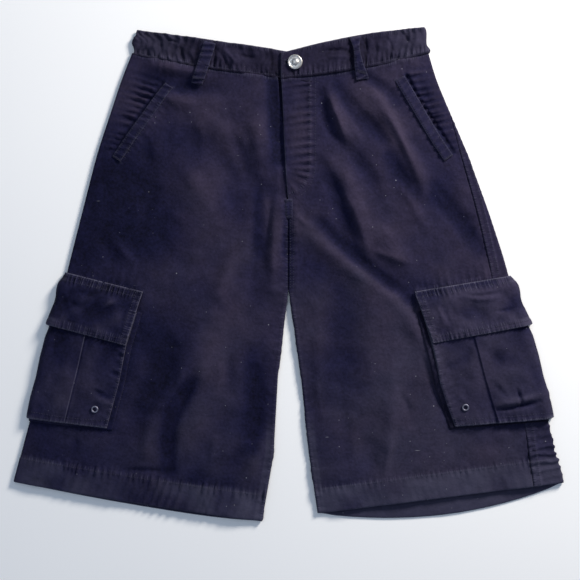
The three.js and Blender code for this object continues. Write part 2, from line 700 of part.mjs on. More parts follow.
for (const side of ["left", "right"]) {
  const pocket = cargo[side];
  const sign = side === "left" ? -1 : 1;
  const bodyEdges = (reach, foot) => (share) => {
    const point = readRow(pocket.edge, share);
    return {
      inner: { x: point.x - sign * reach, y: point.y - foot * share },
      outerDown: mix(pocket.topDown, pocket.footDown + foot, share),
    };
  };
  const shares = spread(0, 1, 6);
  const gussetEdges = bodyEdges(gussetReach.inner, gussetReach.foot);
  cargoPiece(`gusset_${side}`, side, shares, spread(0, 1, 6), gussetEdges,
    () => ({ inner: seamGap, outer: gussetOut }), navy);
  const fold = pocket.pleat;
  const faceColumns = [0, 0.02, 0.16, fold - pleatReach, fold, fold + 0.025, fold + 0.16, 0.8, 1];
  cargoPiece(`pocket_${side}`, side, [0, 0.17, 0.33, 0.5, 0.67, 0.83, 0.97, 1], faceColumns,
    bodyEdges(0, 0), (share, t) => {
      const rise = faceOffset(pocket, t, share);
      const sunk = smooth(1 + (t - fold) / pleatReach) * (1 - smooth((t - fold) / 0.02));
      const pleat = pleatStep * sunk;
      const edge = share === 1 || t === 0 ? rolledEdge.face : 0;
      const outer = rise - pleat - edge;
      return { inner: Math.max(faceIn, rise - faceThickness - 1.2), outer };
    }, navyPale);
  const flapEdges = (share) => ({
    inner: {
      x: mix(pocket.flapTop.x, pocket.flapFoot.x, share),
      y: mix(pocket.flapTop.y, pocket.flapFoot.y, share),
    },
    outerDown: mix(pocket.flapTop.outerDown, pocket.flapFoot.outerDown, share),
  });
  const flapColumns = [0, 0.02, ...spread(0.2, 1, 5)];
  cargoPiece(`flap_${side}`, side, [0, 0.06, flapBreak, 0.5, 0.75, 0.97, 1], flapColumns,
    flapEdges, (share, t) => {
      const full = faceOffset(pocket, t, Math.max(0, (share - 0.35) * 0.4)) + 2 * seamGap;
      const inner = mix(seamGap, full, smooth(share / flapBreak));
      const edge = share === 0 || share === 1 || t === 0 ? rolledEdge.flap : 0;
      return { inner, outer: inner + flapThickness - edge };
    }, navyPale);
}

// Eyelets: a small rolled ring near the inner foot of each pocket face.
const eyeletPlaces = { left: { x: -219, y: -152 }, right: { x: 200, y: -150 } };
for (const side of ["left", "right"]) {
  const spot = locate(side, eyeletPlaces[side].x, eyeletPlaces[side].y);
  const ring = turned([[eyelet.bore, 0], [eyelet.outer, 0], [eyelet.outer - 0.5, eyelet.height],
    [eyelet.bore + 0.5, eyelet.height], [eyelet.bore, 0]], 18);
  const seat = offsetPoint(side, spot.down, spot.turn, cargo[side].faceOut + 1.2);
  addPiece(`eyelet_${side}`, ring, { ...nickel, color: 0x4a4858 }).position.copy(seat);
}

// The origin is the middle of the garment's box, on the table.
const middle = new THREE.Box3().setFromObject(shorts).getCenter(new THREE.Vector3());
shorts.position.set(-middle.x, -middle.y, 0);

export default shorts;
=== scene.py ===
"""Navy cotton cargo shorts laid flat, front up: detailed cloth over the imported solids.

Plan measures are in millimetres from the centre front line and the crotch's level, as a
pattern cutter would note them. MM and ORIGIN turn them into metres in the part's frame.
"""

import bpy
import numpy as np
from mathutils.bvhtree import BVHTree
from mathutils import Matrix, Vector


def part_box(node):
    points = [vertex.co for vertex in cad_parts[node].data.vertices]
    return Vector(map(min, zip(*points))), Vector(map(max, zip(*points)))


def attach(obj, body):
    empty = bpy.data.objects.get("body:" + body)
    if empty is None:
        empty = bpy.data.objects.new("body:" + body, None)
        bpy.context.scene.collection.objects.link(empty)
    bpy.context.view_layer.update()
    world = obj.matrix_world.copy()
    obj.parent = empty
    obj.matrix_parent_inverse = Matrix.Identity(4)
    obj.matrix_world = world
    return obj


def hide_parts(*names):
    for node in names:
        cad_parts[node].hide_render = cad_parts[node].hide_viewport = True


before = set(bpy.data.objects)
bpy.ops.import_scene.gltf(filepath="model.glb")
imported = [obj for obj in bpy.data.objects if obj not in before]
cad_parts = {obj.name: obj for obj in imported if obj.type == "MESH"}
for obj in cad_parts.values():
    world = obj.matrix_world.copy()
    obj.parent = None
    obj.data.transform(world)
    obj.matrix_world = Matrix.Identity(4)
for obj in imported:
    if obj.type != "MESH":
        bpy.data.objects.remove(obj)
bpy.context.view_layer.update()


# The table that the shorts lie on, seen from straight above by soft light from a window at the
# upper right, with paler light from the rest of the room. The camera stands over the crotch.
MM = 0.001
ZIP_MIDDLE = (5.0, 161.5)
zip_low, zip_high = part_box("fly_zip")
ORIGIN = np.array(
    [(zip_low[axis] + zip_high[axis]) / 2 - ZIP_MIDDLE[axis] * MM for axis in (0, 1)] + [0.0]
)

CAMERA_HEIGHT = 1.35
VIEW_CENTRE = (1.7, -17.1)
VIEW_WIDTH = 661.2
SENSOR = 36.0
TABLE_HALF = 3.0
ROOM_LIGHT = (0.62, 0.76, 1.0)
ROOM_STRENGTH = 0.34
# Columns: name, place and size in metres, power in watts, colour.
LAMPS = [
    ("window", (1.05, 1.10, 0.80), 0.50, 44.0, (1.0, 0.94, 0.86)),
    ("room", (-0.6, 0.4, 2.2), 1.8, 8.0, (0.80, 0.90, 1.0)),
]


class Wire:
    """A socket in a material: arithmetic on it adds Math nodes, and node() adds any other."""

    def __init__(self, tree, socket=None):
        self.tree = tree
        self.socket = socket

    def node(self, kind, sockets=(), output=0, **settings):
        made = self.tree.nodes.new(kind)
        for name, value in settings.items():
            setattr(made, name, value)
        for name, value in dict(sockets).items():
            if isinstance(value, Wire):
                self.tree.links.new(value.socket, made.inputs[name])
            else:
                made.inputs[name].default_value = value
        return Wire(self.tree, made.outputs[output])

    def math(self, operation, *values):
        return self.node("ShaderNodeMath", enumerate(values), operation=operation)

    def __add__(self, other):
        return self.math("ADD", self, other)

    def __sub__(self, other):
        return self.math("SUBTRACT", self, other)

    def __rsub__(self, other):
        return self.math("SUBTRACT", other, self)

    def __mul__(self, other):
        return self.math("MULTIPLY", self, other)

    def __truediv__(self, other):
        return self.math("DIVIDE", self, other)

    __radd__ = __add__
    __rmul__ = __mul__

    def step(self, low, high):
        """0 below low and 1 above high, with soft ends."""
        sockets = {"Value": self, "From Min": low, "From Max": high}
        return self.node("ShaderNodeMapRange", sockets, interpolation_type="SMOOTHSTEP")

    def spot(self):
        """The place on the piece, in metres."""
        return self.node("ShaderNodeTexCoord", output="Object")

    def kept(self, name):
        """A value kept on the mesh."""
        return self.node("ShaderNodeAttribute", output="Fac", attribute_name=name)

    def noise(self, size, detail=2.0):
        """Cloudy values round 0.5 with features of a given size in metres."""
        sockets = {"Vector": self, "Scale": 1 / size, "Detail": detail}
        return self.node("ShaderNodeTexNoise", sockets, output="Fac")

    def blend(self, first, second):
        """A colour from first to second, by this factor."""
        sockets = {0: self, 6: first, 7: second}
        return self.node("ShaderNodeMix", sockets, output=2, data_type="RGBA")

    def brightened(self, factor):
        """This colour times a factor."""
        sockets = {"Vector": self, "Scale": factor}
        return self.node("ShaderNodeVectorMath", sockets, operation="SCALE")

    def stretch(self, scale, turn=0.0):
        """These coordinates turned about the vertical and scaled."""
        sockets = {"Vector": self, "Rotation": (0, 0, turn), "Scale": scale}
        return self.node("ShaderNodeMapping", sockets)

    def bump(self, strength):
        """A normal from this height in metres."""
        sockets = {"Height": self, "Strength": strength, "Distance": 1.0}
        return self.node("ShaderNodeBump", sockets)


def new_material(name, **constants):
    """A material and a Wire in it: constants are set on the shader's own sockets."""
    material = bpy.data.materials.new(name)
    material.use_nodes = True
    shader = material.node_tree.nodes["Principled BSDF"]
    for socket, value in constants.items():
        shader.inputs[socket.replace("_", " ")].default_value = value
    return material, Wire(material.node_tree)


def connect(material, **wires):
    """Feeds wires to the shader's sockets."""
    shader = material.node_tree.nodes["Principled BSDF"]
    for socket, wire in wires.items():
        target = shader.inputs[socket.replace("_", " ")]
        material.node_tree.links.new(wire.socket, target)


def add_object(name, data):
    """An object at the origin, in the scene."""
    made = bpy.data.objects.new(name, data)
    bpy.context.scene.collection.objects.link(made)
    return made


table_mesh = bpy.data.meshes.new("table")
table_corners = [(x * TABLE_HALF, y * TABLE_HALF, 0.0) for x, y in ((-1, -1), (1, -1), (1, 1), (-1, 1))]
table_mesh.from_pydata(table_corners, [], [(0, 1, 2, 3)])
table_paint, wire = new_material("pale_table", Specular_IOR_Level=0.2)
spot = wire.spot()
connect(
    table_paint,
    Base_Color=spot.noise(0.4).blend((0.90, 0.90, 0.90, 1), (0.94, 0.94, 0.94, 1)),
    Roughness=spot.noise(0.05) * 0.1 + 0.75,
)
table_mesh.materials.append(table_paint)
add_object("table", table_mesh)

for name, place, size, power, colour in LAMPS:
    lamp = bpy.data.lights.new(name, "AREA")
    lamp.shape = "DISK"
    lamp.size, lamp.energy, lamp.color = size, power, colour
    stand = add_object(name, lamp)
    stand.location = place
    aim = Vector((0, 0, 0)) - Vector(place)
    stand.rotation_euler = aim.to_track_quat("-Z", "Y").to_euler()

room = bpy.data.worlds.new("room")
room.use_nodes = True
room.node_tree.nodes["Background"].inputs["Color"].default_value = (*ROOM_LIGHT, 1)
room.node_tree.nodes["Background"].inputs["Strength"].default_value = ROOM_STRENGTH
bpy.context.scene.world = room

camera_data = bpy.data.cameras.new("camera")
camera_data.sensor_width = SENSOR
camera_data.lens = SENSOR * CAMERA_HEIGHT / (VIEW_WIDTH * MM)
camera = add_object("camera", camera_data)
camera.location = (
    VIEW_CENTRE[0] * MM + ORIGIN[0],
    VIEW_CENTRE[1] * MM + ORIGIN[1],
    CAMERA_HEIGHT,
)
bpy.context.scene.camera = camera
bpy.context.scene.view_settings.view_transform = "Standard"


# The two fronts: washed navy twill, 1.5 mm thick as laid, cut from the waist to a turned 30 mm hem.
# They are seamed together down the centre below the fly, and each falls in soft folds of its own.
WAIST, CROTCH, HEM, HEM_DEPTH = 0.0, 241.0, 502.0, 30.0
CLOTH, SEAM_GAP, FOLD_RADIUS = 1.5, 0.3, 2.6
BILLOW, BILLOW_REACH, FOLD_REACH, CORNER_REACH, CROTCH_LENGTH = 1.5, 28.0, 16.0, 12.0, 20.0
ARC = FOLD_RADIUS * np.pi / 2
HEM_LINE = HEM - HEM_DEPTH
# From here down to the hem the rows of points lie closer.
CLOSE_ROWS = HEM_LINE - 10
# Farther from an edge or a seam, in millimetres, than any wear reaches.
FAR = 99.0
# Which way x runs outwards on each half.
HAND = {"left": -1, "right": 1}

# Sections across each half. Columns: how far down from the waist seam, x and y of the outer fold,
# x and y of the inner edge, how far it sags, and how far the side seam lies round the outer fold.
STATIONS = {
    "left": [
        (-30, -173, 279, 0, 254, 0, -7),
        (0, -178, 252, 0, 224, 3, -7),
        (30, -190, 222, 0, 193, 2, -7),
        (120, -218, 137, 0, 100, 0, -7),
        (182, -234, 74, 0, 40, 0, -7),
        (241, -249, 15, 0, -17, 0, -7),
        (261, -254, -6, -3, -37, 0, -7),
        (339, -273, -80, -12, -115, 0, -7),
        (428, -294, -165, -17, -205, 1, -7),
        (502, -312.5, -235, -30, -280, 2, -7),
    ],
    "right": [
        (-30, 153, 281, 0, 254, -4, -7),
        (0, 159, 253, 0, 224, 4, -6),
        (30, 168, 222, 0, 193, 2, -4),
        (120, 204, 137, 0, 100, 0, 10),
        (182, 227, 74, 0, 40, 0, 15),
        (241, 245, 19, 0, -17, 0, 20),
        (261, 250, 0, 3, -37, 0, 21),
        (339, 272, -80, 14, -115, 0, 25),
        (428, 295, -165, 23, -203, 0, 29),
        (502, 313, -236, 33, -271, 0, 37),
    ],
}

# Soft ridges (height above 0) and troughs (below 0) of the fronts, the largest first.
# Columns: start, bend and end in plan, width and height.
FOLDS = [
    ((-158, 240), (-124, 234), (-93, 227), 14, 1.5),
    ((-157, 226), (-136, 212), (-110, 216), 22, -2.4),
    ((-122, 214), (-104, 206), (-84, 212), 16, -1.2),
    ((-148, 208), (-128, 194), (-100, 196), 22, 1.6),
    ((-134, 160), (-116, 150), (-96, 158), 34, -1.8),
    ((-88, 184), (-72, 174), (-58, 180), 30, -1.4),
    ((-161, 150), (-159, 137), (-162, 125), 16, -1.4),
    ((-107, 199), (-80, 179), (-58, 154), 41, 1.5),
    ((-47, 188), (-23, 154), (-22, 116), 30, 1.8),
    ((-82, 142), (-61, 103), (-55, 68), 27, -1.5),
    ((-118, 125), (-95, 91), (-84, 57), 34, 1.5),
    ((-20, 92), (-34, 66), (-38, -17), 20, -2.6),
    ((-12, 74), (-17, 40), (-17, -15), 18, 2.4),
    ((-61, 28), (-72, -6), (-86, -40), 25, 2.0),
    ((-135, -84), (-146, -118), (-166, -150), 26, -2.4),
    ((-108, -122), (-146, -160), (-136, -222), 19, -3.0),
    ((-84, -62), (-96, -125), (-110, -196), 40, 1.8),
    ((-148, -150), (-160, -180), (-164, -215), 22, 1.8),
    ((-52, -196), (-58, -209), (-67, -219), 16, -1.4),
    ((36, 204), (40, 170), (62, 148), 15, -1.8),
    ((44, 214), (53, 182), (68, 154), 17, 2.0),
    ((56, 212), (76, 182), (108, 152), 17, -2.3),
    ((62, 150), (88, 126), (104, 84), 18, -1.8),
    ((88, 224), (108, 212), (124, 196), 15, -1.8),
    ((96, 202), (124, 160), (156, 98), 24, 2.2),
    ((112, 134), (124, 112), (142, 94), 18, -1.8),
    ((54, 128), (78, 88), (90, 40), 26, 2.1),
    ((36, 128), (58, 84), (74, 24), 18, -2.0),
    ((98, 66), (108, 40), (134, 8), 30, 1.6),
    ((12, 56), (64, 14), (116, -26), 28, 1.9),
    ((34, 60), (72, 18), (136, -28), 17, -2.2),
    ((118, -26), (152, -66), (172, -134), 26, 2.2),
    ((60, -26), (64, -84), (74, -146), 48, -1.6),
    ((164, 97), (190, 68), (216, 26), 22, -2.4),
    ((150, 212), (160, 186), (172, 160), 20, -1.4),
    ((88, -180), (92, -205), (86, -225), 26, -1.2),
    ((121, -107), (118, -177), (108, -230), 27, 2.0),
    # Smaller creases.
    ((-27, 92), (-24, 70), (-30, 48), 9, 0.8),
    ((-20, 84), (-23, 60), (-24, 30), 8, -1.0),
    ((-8, 72), (-10, 45), (-9, 5), 8, 0.7),
    ((-118, -100), (-124, -128), (-138, -150), 13, 0.9),
    ((-128, -150), (-136, -185), (-133, -215), 12, -1.1),
    ((-44, -88), (-36, -140), (-42, -196), 26, -1.9),
    ((-66, -86), (-70, -112), (-66, -132), 16, -1.0),
    ((-26, -180), (-34, -205), (-44, -226), 20, 1.5),
    ((-17, 222), (-17, 172), (-11, 128), 16, -2.4),
    ((-40, 165), (-36, 140), (-30, 118), 18, 1.2),
    ((-36, 96), (-38, 66), (-34, 20), 12, -1.4),
    ((-72, -96), (-78, -128), (-92, -152), 16, 0.9),
    ((-89, -215), (-84, -196), (-80, -178), 11, 0.7),
    ((-241, -184), (-243, -196), (-247, -207), 10, -0.9),
    ((-188, -222), (-160, -221), (-132, -224), 7, -0.8),
    ((-196, 36), (-186, 26), (-177, 14), 12, 0.9),
    ((-214, 44), (-200, 28), (-196, 8), 15, -0.8),
    ((-150, 96), (-160, 80), (-166, 60), 16, -0.9),
    ((-62, 160), (-50, 134), (-48, 104), 15, -0.8),
    ((-90, 176), (-112, 160), (-128, 140), 18, 0.8),
    ((-18, 196), (-20, 180), (-16, 160), 10, -0.8),
    ((60, 205), (76, 172), (93, 150), 12, -0.9),
    ((46, 200), (58, 172), (66, 146), 9, 0.8),
    ((104, 196), (128, 160), (141, 112), 12, 0.9),
    ((112, 172), (132, 140), (146, 96), 11, -0.9),
    ((62, 96), (80, 60), (92, 20), 13, 0.9),
    ((48, 112), (60, 84), (66, 52), 12, -0.9),
    ((118, 116), (140, 84), (157, 50), 14, 0.8),
    ((166, 96), (178, 78), (190, 62), 9, 0.8),
    ((8, 70), (14, 62), (24, 54), 8, 0.7),
    ((92, 30), (118, 18), (142, 14), 10, 0.8),
    ((127, -136), (136, -146), (137, -158), 9, -0.8),
    ((117, -190), (112, -210), (108, -224), 10, 1.1),
    ((126, -168), (124, -196), (116, -222), 12, -0.7),
    ((60, -140), (66, -172), (66, -206), 15, -0.7),
    ((146, -74), (164, -128), (184, -170), 14, -1.2),
    ((34, -60), (30, -110), (36, -160), 18, 0.7),
]
# How much all folds are raised and narrowed, and about how deep a trough can get.
FOLD_RISE, FOLD_TIGHT, DEEPEST = 2.2, 0.40, 3.0


def smooth(value):
    """Clamps to 0 to 1, with soft ends."""
    t = np.clip(value, 0.0, 1.0)
    return t * t * (3.0 - 2.0 * t)


def mix(first, second, t):
    """From first to second as t goes from 0 to 1."""
    return first + (second - first) * t


def bell(distance, width):
    """1 at no distance, and close to 0 past twice the width."""
    return np.exp(-((distance / width) ** 2))


def read(rows, down):
    """Every column of a table at each distance down, straight between rows and past the ends."""
    rows = np.asarray(rows, float)
    down = np.asarray(down, float)
    row = np.clip(np.searchsorted(rows[:, 0], down, side="right") - 1, 0, len(rows) - 2)
    share = (down - rows[row, 0]) / (rows[row + 1, 0] - rows[row, 0])
    return rows[row] + (rows[row + 1] - rows[row]) * share[..., None]


class Section:
    """Lines across one half of the shorts at given distances down from the waist seam."""

    def __init__(self, side, down):
        down = np.asarray(down, float)
        rows = STATIONS[side]
        reach = np.clip(np.minimum(down - WAIST, HEM - down), 0, CORNER_REACH)
        here = read(rows, down)
        row = (read(rows, down - reach) + 2 * here + read(rows, down + reach)) / 4
        outer_x, outer_y, _, inner_y, self.sag, self.seam = np.moveaxis(row, -1, 0)[1:]
        on_leg = down > CROTCH + 2
        self.inner_x = np.where(on_leg, here[..., 3], HAND[side] * SEAM_GAP / 2)
        self.inner_y = np.where(on_leg, here[..., 4], inner_y)
        self.leg = smooth((down - CROTCH) / CROTCH_LENGTH)
        across_x, across_y = outer_x - self.inner_x, outer_y - self.inner_y
        self.length = np.hypot(across_x, across_y)
        self.along_x, self.along_y = across_x / self.length, across_y / self.length
        self.flat = self.length - 2 * FOLD_RADIUS

    def plan(self, run):
        """Where a place lies, run millimetres out from the inner edge."""
        t = run / self.length
        bend = 4 * self.sag * t * (1 - t) * (t > 0)
        return self.inner_x + self.along_x * run, self.inner_y + self.along_y * run - bend

    def turn(self, path):
        """The turn of a place that lies path millimetres out over the cloth.

        0 to 1 is the inner fold, 1 to 2 the top, 2 to 4 the outer fold, 4 to 5 the underside
        and 5 to 6 the inner fold again.
        """
        top = self.length - FOLD_RADIUS
        under = top + 2 * ARC
        return np.select(
            [path < 0, path < FOLD_RADIUS, path < top, path < under, path < under + self.flat],
            [
                path / FOLD_RADIUS,
                1 - np.arcsin(np.clip(1 - path / FOLD_RADIUS, -1, 1)) / (np.pi / 2),
                1 + (path - FOLD_RADIUS) / self.flat,
                2 + (path - top) / ARC,
                4 + (path - under) / self.flat,
            ],
            5 + (path - under - self.flat) / ARC,
        )

    def outermost(self):
        """The path to the outermost line of the outer fold."""
        return self.length - FOLD_RADIUS + ARC


def bend_curve(start, bend, end, steps=12):
    """Points on a curve from start to end, drawn towards bend."""
    t = np.linspace(0, 1, steps + 1)[:, None]
    start, bend, end = np.array([start, bend, end], float)
    return (1 - t) ** 2 * start + 2 * t * (1 - t) * bend + t**2 * end


def near_curve(curve, x, y):
    """Signed distance to a curve, plus to its left, the way along it to the nearest place, and
    the curve's length."""
    x, y = np.broadcast_arrays(x, y)
    best = np.full(x.shape, np.inf)
    signed, along = np.zeros(x.shape), np.zeros(x.shape)
    start = 0.0
    for (ax, ay), (bx, by) in zip(curve[:-1], curve[1:]):
        length = np.hypot(bx - ax, by - ay)
        ux, uy = (bx - ax) / length, (by - ay) / length
        share = np.clip((x - ax) * ux + (y - ay) * uy, 0, length)
        off_x, off_y = x - ax - share * ux, y - ay - share * uy
        distance = np.hypot(off_x, off_y)
        closer = distance < best
        best = np.where(closer, distance, best)
        signed = np.where(closer, np.copysign(distance, ux * off_y - uy * off_x), signed)
        along = np.where(closer, start + share, along)
        start += length
    return signed, along, start


def fold_height(x, y):
    """The height that all folds together add at each place in plan."""
    total = np.zeros(x.shape)
    for start, bend, end, width, height in FOLDS:
        corners = np.array([start, bend, end], float)
        low, high = corners.min(axis=0) - 1.3 * width, corners.max(axis=0) + 1.3 * width
        near = (x > low[0]) & (x < high[0]) & (y > low[1]) & (y < high[1])
        if near.any():
            signed, along, length = near_curve(bend_curve(start, bend, end), x[near], y[near])
            share = along / length
            fade = 0.35 + 0.65 * smooth(np.minimum(share, 1 - share) * 3)
            total[near] += FOLD_RISE * height * bell(signed, FOLD_TIGHT * width) * fade
    return np.where(total < 0, -DEEPEST * np.tanh(-total / DEEPEST), total)


def skin(side, down, turn):
    """Points of the garment's outer skin, in millimetres."""
    row = Section(side, down)
    quarter = np.pi / 2
    angle = quarter * np.select([turn < 1, turn < 4], [1 - turn, turn - 2], turn - 5)
    inner_run = FOLD_RADIUS * (1 - np.sin(angle))
    run = np.select(
        [turn < 0, turn < 1, turn < 2, turn < 4, turn < 5],
        [
            turn * FOLD_RADIUS,
            inner_run,
            FOLD_RADIUS + (turn - 1) * row.flat,
            row.length - FOLD_RADIUS + FOLD_RADIUS * np.sin(angle),
            row.length - FOLD_RADIUS - (turn - 4) * row.flat,
        ],
        inner_run,
    )
    x, y = row.plan(run)
    to_outer = row.length - FOLD_RADIUS - run
    drop = np.where((turn > 0) & (turn < 1), row.leg * FOLD_RADIUS * (1 - np.cos(angle)), 0)
    swell = mix(1, smooth((run - FOLD_RADIUS) / BILLOW_REACH), row.leg)
    calm = mix(1, smooth((run - FOLD_RADIUS) / FOLD_REACH), row.leg)
    top = 2 * FOLD_RADIUS - drop + BILLOW * swell * smooth(to_outer / BILLOW_REACH)
    folded = np.where(turn < 2, fold_height(x, y), 0.0)
    top = top + folded * calm * smooth(to_outer / FOLD_REACH)
    z = np.select(
        [turn < 2, turn < 4, turn < 5],
        [top, FOLD_RADIUS + FOLD_RADIUS * np.cos(angle), 0.0 * top],
        row.leg * FOLD_RADIUS * (1 - np.cos(angle)),
    )
    return np.stack([x, y, z], axis=-1)


def moved_out(side, points, distance):
    """A grid of points moved along its own normal, away from the garment's inside."""
    around, down = np.gradient(points, axis=1), np.gradient(points, axis=0)
    normal = HAND[side] * np.cross(down, around)
    normal /= np.linalg.norm(normal, axis=-1, keepdims=True)
    moved = points + normal * np.broadcast_to(distance, points.shape[:2])[..., None]
    moved[..., 2] = np.maximum(moved[..., 2], 0.0)
    return moved


def wander(place, seed):
    """A smooth random line between -1 and 1, one knot for each whole number."""
    knots = np.random.RandomState(seed).uniform(-1, 1, 257)
    whole = np.floor(place).astype(int)
    return mix(knots[whole % 256], knots[(whole + 1) % 256], smooth(place - whole))


def clouds(x, y, size, seed):
    """Smooth random hills between -1 and 1, about one for each size."""
    knots = np.random.RandomState(seed).uniform(-1, 1, (64, 64))
    column, row = np.floor(x / size).astype(int), np.floor(y / size).astype(int)
    across, up = smooth(x / size - column), smooth(y / size - row)
    low = mix(knots[row % 64, column % 64], knots[row % 64, (column + 1) % 64], across)
    high = mix(knots[(row + 1) % 64, column % 64], knots[(row + 1) % 64, (column + 1) % 64], across)
    return mix(low, high, up)


def puckers(along, pitch, seed):
    """Uneven ripples along a seam, round 0 and about 1 high, sharper in their hollows."""
    phase = 2 * np.pi * along / pitch + 2.8 * wander(along / (2.1 * pitch) + 7.0, seed)
    wave = np.sin(phase) - 0.22 * np.cos(2 * phase)
    return wave * (0.62 + 0.38 * wander(along / (1.6 * pitch) + 31.0, seed + 1))


def ladder(*stretches):
    """Rising places from stretches of (start, end, step); each start is kept and the last end."""
    parts = [
        np.linspace(start, end, max(1, round((end - start) / step)), endpoint=False)
        for start, end, step in stretches
    ]
    return np.concatenate([*parts, [stretches[-1][1]]])


# Where the cloth is paler and greyer (amount above 0) or a deeper blue: partly real washing and
# wear, partly painted light and shade, with more painted shade on the left and painted light on the right.
# Columns: x and y of the middle, reach and amount.
FADED_AND_SHADED = [
    (-186, 125, 46, -0.8),
    (-205, 70, 50, -0.9),
    (-158, 46, 38, -0.5),
    (-243, 20, 40, -0.5),
    (-226, -40, 44, -0.7),
    (-141, -80, 42, -0.8),
    (-150, -150, 30, -0.6),
    (-60, -216, 22, -0.4),
    (-42, -222, 16, 0.5),
    (-218, -128, 44, 0.15),
    (-264, -84, 26, -0.6),
    (-290, -215, 40, -0.4),
    (-107, 165, 46, 0.35),
    (-61, 118, 46, 0.3),
    (-84, 28, 44, 0.2),
    (-50, -74, 40, 0.4),
    (-182, 212, 36, 0.45),
    (178, 214, 32, 0.35),
    (-20, 140, 26, -0.5),
    (104, 188, 44, 0.5),
    (118, 34, 30, 0.35),
    (24, -60, 34, 0.4),
    (118, -80, 44, 0.6),
    (90, -200, 50, 0.4),
    (93, -142, 60, 0.45),
    (150, -205, 60, 0.60),
    (212, -28, 52, 0.85),
    (215, -115, 50, 0.55),
    (240, -230, 70, 0.65),
    (127, 262, 40, 0.30),
    (190, 60, 40, 0.30),
]


# The same along lines: painted light along the tops of folds and painted shade in their hollows.
# Columns: start, bend and end in plan, width and amount.
LIGHT_AND_SHADE_STREAKS = [
    ((-19, 226), (-18, 180), (-12, 132), 7, -1.1),
    ((-19, 262), (-17, 242), (-16, 226), 5, -1.1),
    ((-160, 224), (-138, 208), (-110, 214), 10, -0.7),
    ((-118, 154), (-108, 150), (-96, 154), 26, -0.4),
    ((-35, 88), (-36, 60), (-33, 24), 7, -0.6),
    ((-24, 82), (-22, 60), (-20, 30), 6, 0.5),
    ((-5, 76), (-3, 50), (-3, 26), 5, -0.7),
    ((-230, -16), (-205, -12), (-180, -18), 9, -0.7),
    ((-84, -62), (-98, -125), (-118, -196), 20, 0.25),
    ((-60, -40), (-78, -60), (-92, -76), 18, 0.4),
    ((-141, -90), (-148, -118), (-162, -146), 11, -0.6),
    ((-112, -127), (-145, -160), (-136, -220), 7, -1.5),
    ((15, 205), (14, 160), (14, 112), 13, 0.5),
    ((-42, -92), (-36, -140), (-42, -196), 12, -0.6),
    ((-104, -232), (-102, -244), (-98, -256), 12, -0.8),
    ((70, 250), (90, 226), (121, 196), 9, -0.5),
    ((54, 213), (74, 184), (104, 154), 8, -0.4),
    ((100, 199), (124, 160), (158, 100), 10, 0.4),
    ((58, 126), (82, 88), (96, 44), 12, 0.4),
    ((12, 54), (64, 14), (116, -28), 13, 0.5),
    ((118, -28), (154, -70), (174, -136), 14, 0.7),
    ((38, 57), (76, 18), (136, -28), 9, -0.6),
    ((59, -30), (63, -85), (74, -142), 24, -0.3),
    ((166, 95), (192, 66), (216, 28), 11, -0.5),
    ((160, -13), (190, -10), (232, -8), 8, -0.6),
    ((112, 134), (124, 112), (142, 94), 9, -0.4),
]


def faded_and_shaded(x, y):
    """How much paler (plus) or bluer (minus) the cloth is at each place in plan, from real fading and from
    painted light and shade.
    """
    total = np.zeros(x.shape)
    for middle_x, middle_y, reach, amount in FADED_AND_SHADED:
        total += amount * bell(np.hypot(x - middle_x, y - middle_y), reach)
    for start, bend, end, width, amount in LIGHT_AND_SHADE_STREAKS:
        near = np.abs(x - bend[0]) + np.abs(y - bend[1]) < 4 * width + np.hypot(*np.subtract(end, start))
        if near.any():
            signed = near_curve(bend_curve(start, bend, end, 6), x[near], y[near])[0]
            total[near] += amount * bell(signed, width)
    return total


def shell(name, outer, inner, holes=None, **values):
    """A closed wall of cloth between two grids of points, with named values at each point."""
    rows, columns = outer.shape[:2]
    count = rows * columns
    number = np.arange(count).reshape(rows, columns)
    kept = np.ones((rows - 1, columns - 1), bool)
    if holes is not None:
        kept &= ~holes
    a, b = number[:-1, :-1][kept], number[1:, :-1][kept]
    c, d = number[1:, 1:][kept], number[:-1, 1:][kept]
    top = np.stack([a, b, c, d], axis=1)
    sides = np.concatenate([top[:, [k, (k + 1) % 4]] for k in range(4)])
    paired = set(map(tuple, sides))
    rim = np.array([side for side in map(tuple, sides) if side[::-1] not in paired])
    wall = np.stack([rim[:, 1], rim[:, 0], rim[:, 0] + count, rim[:, 1] + count], axis=1)
    faces = np.concatenate([top, top[:, ::-1] + count, wall])
    points = np.concatenate([outer.reshape(-1, 3), inner.reshape(-1, 3)])
    corners = points[faces]
    turned = np.cross(corners[:, 2] - corners[:, 0], corners[:, 3] - corners[:, 1])
    if (turned * corners.mean(axis=1)).sum() < 0:
        faces = faces[:, ::-1]
    used = np.unique(faces)
    place = np.zeros(len(points), int)
    place[used] = np.arange(len(used))
    mesh = bpy.data.meshes.new(name)
    mesh.from_pydata((points[used] * MM + ORIGIN).tolist(), [], place[faces].tolist())
    mesh.shade_smooth()
    # The tone holds real fading and wear, and painted light and shade from the tables above and from each
    # piece's ridge values.
    values["tone"] = np.clip(faded_and_shaded(outer[..., 0], outer[..., 1]) + values.pop("ridge", 0), -1, 1)
    values.setdefault("wear", 0.0)
    for label, value in values.items():
        layer = mesh.attributes.new(label, "FLOAT", "POINT")
        spread = np.broadcast_to(value, (rows, columns)).reshape(-1)
        layer.data.foreach_set("value", np.concatenate([spread, spread])[used].astype(np.float32))
    return add_object(name, mesh)


def dress(piece, node, material):
    """Gives a cloth piece its material and its place in the record."""
    piece.data.materials.append(material)
    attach(piece, "root")
    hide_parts(node)


NAVY_BLUE = (0.0110, 0.0112, 0.0440, 1)
NAVY_GREY = (0.0258, 0.0204, 0.0400, 1)
NAVY_STEEL = (0.0240, 0.0219, 0.0422, 1)
NAVY_WORN = (0.0600, 0.0590, 0.0950, 1)
LINT = (0.22, 0.22, 0.26, 1)
# Specks and hairs of lint. Columns: spacing in metres, reach as a share of that, length, turn.
LINT_SIZES = [
    (0.010, 0.070, 1.0, 0.0),
    (0.021, 0.045, 1.0, 0.0),
    (0.023, 0.022, 7.0, 0.6),
    (0.026, 0.020, 8.0, 2.2),
]


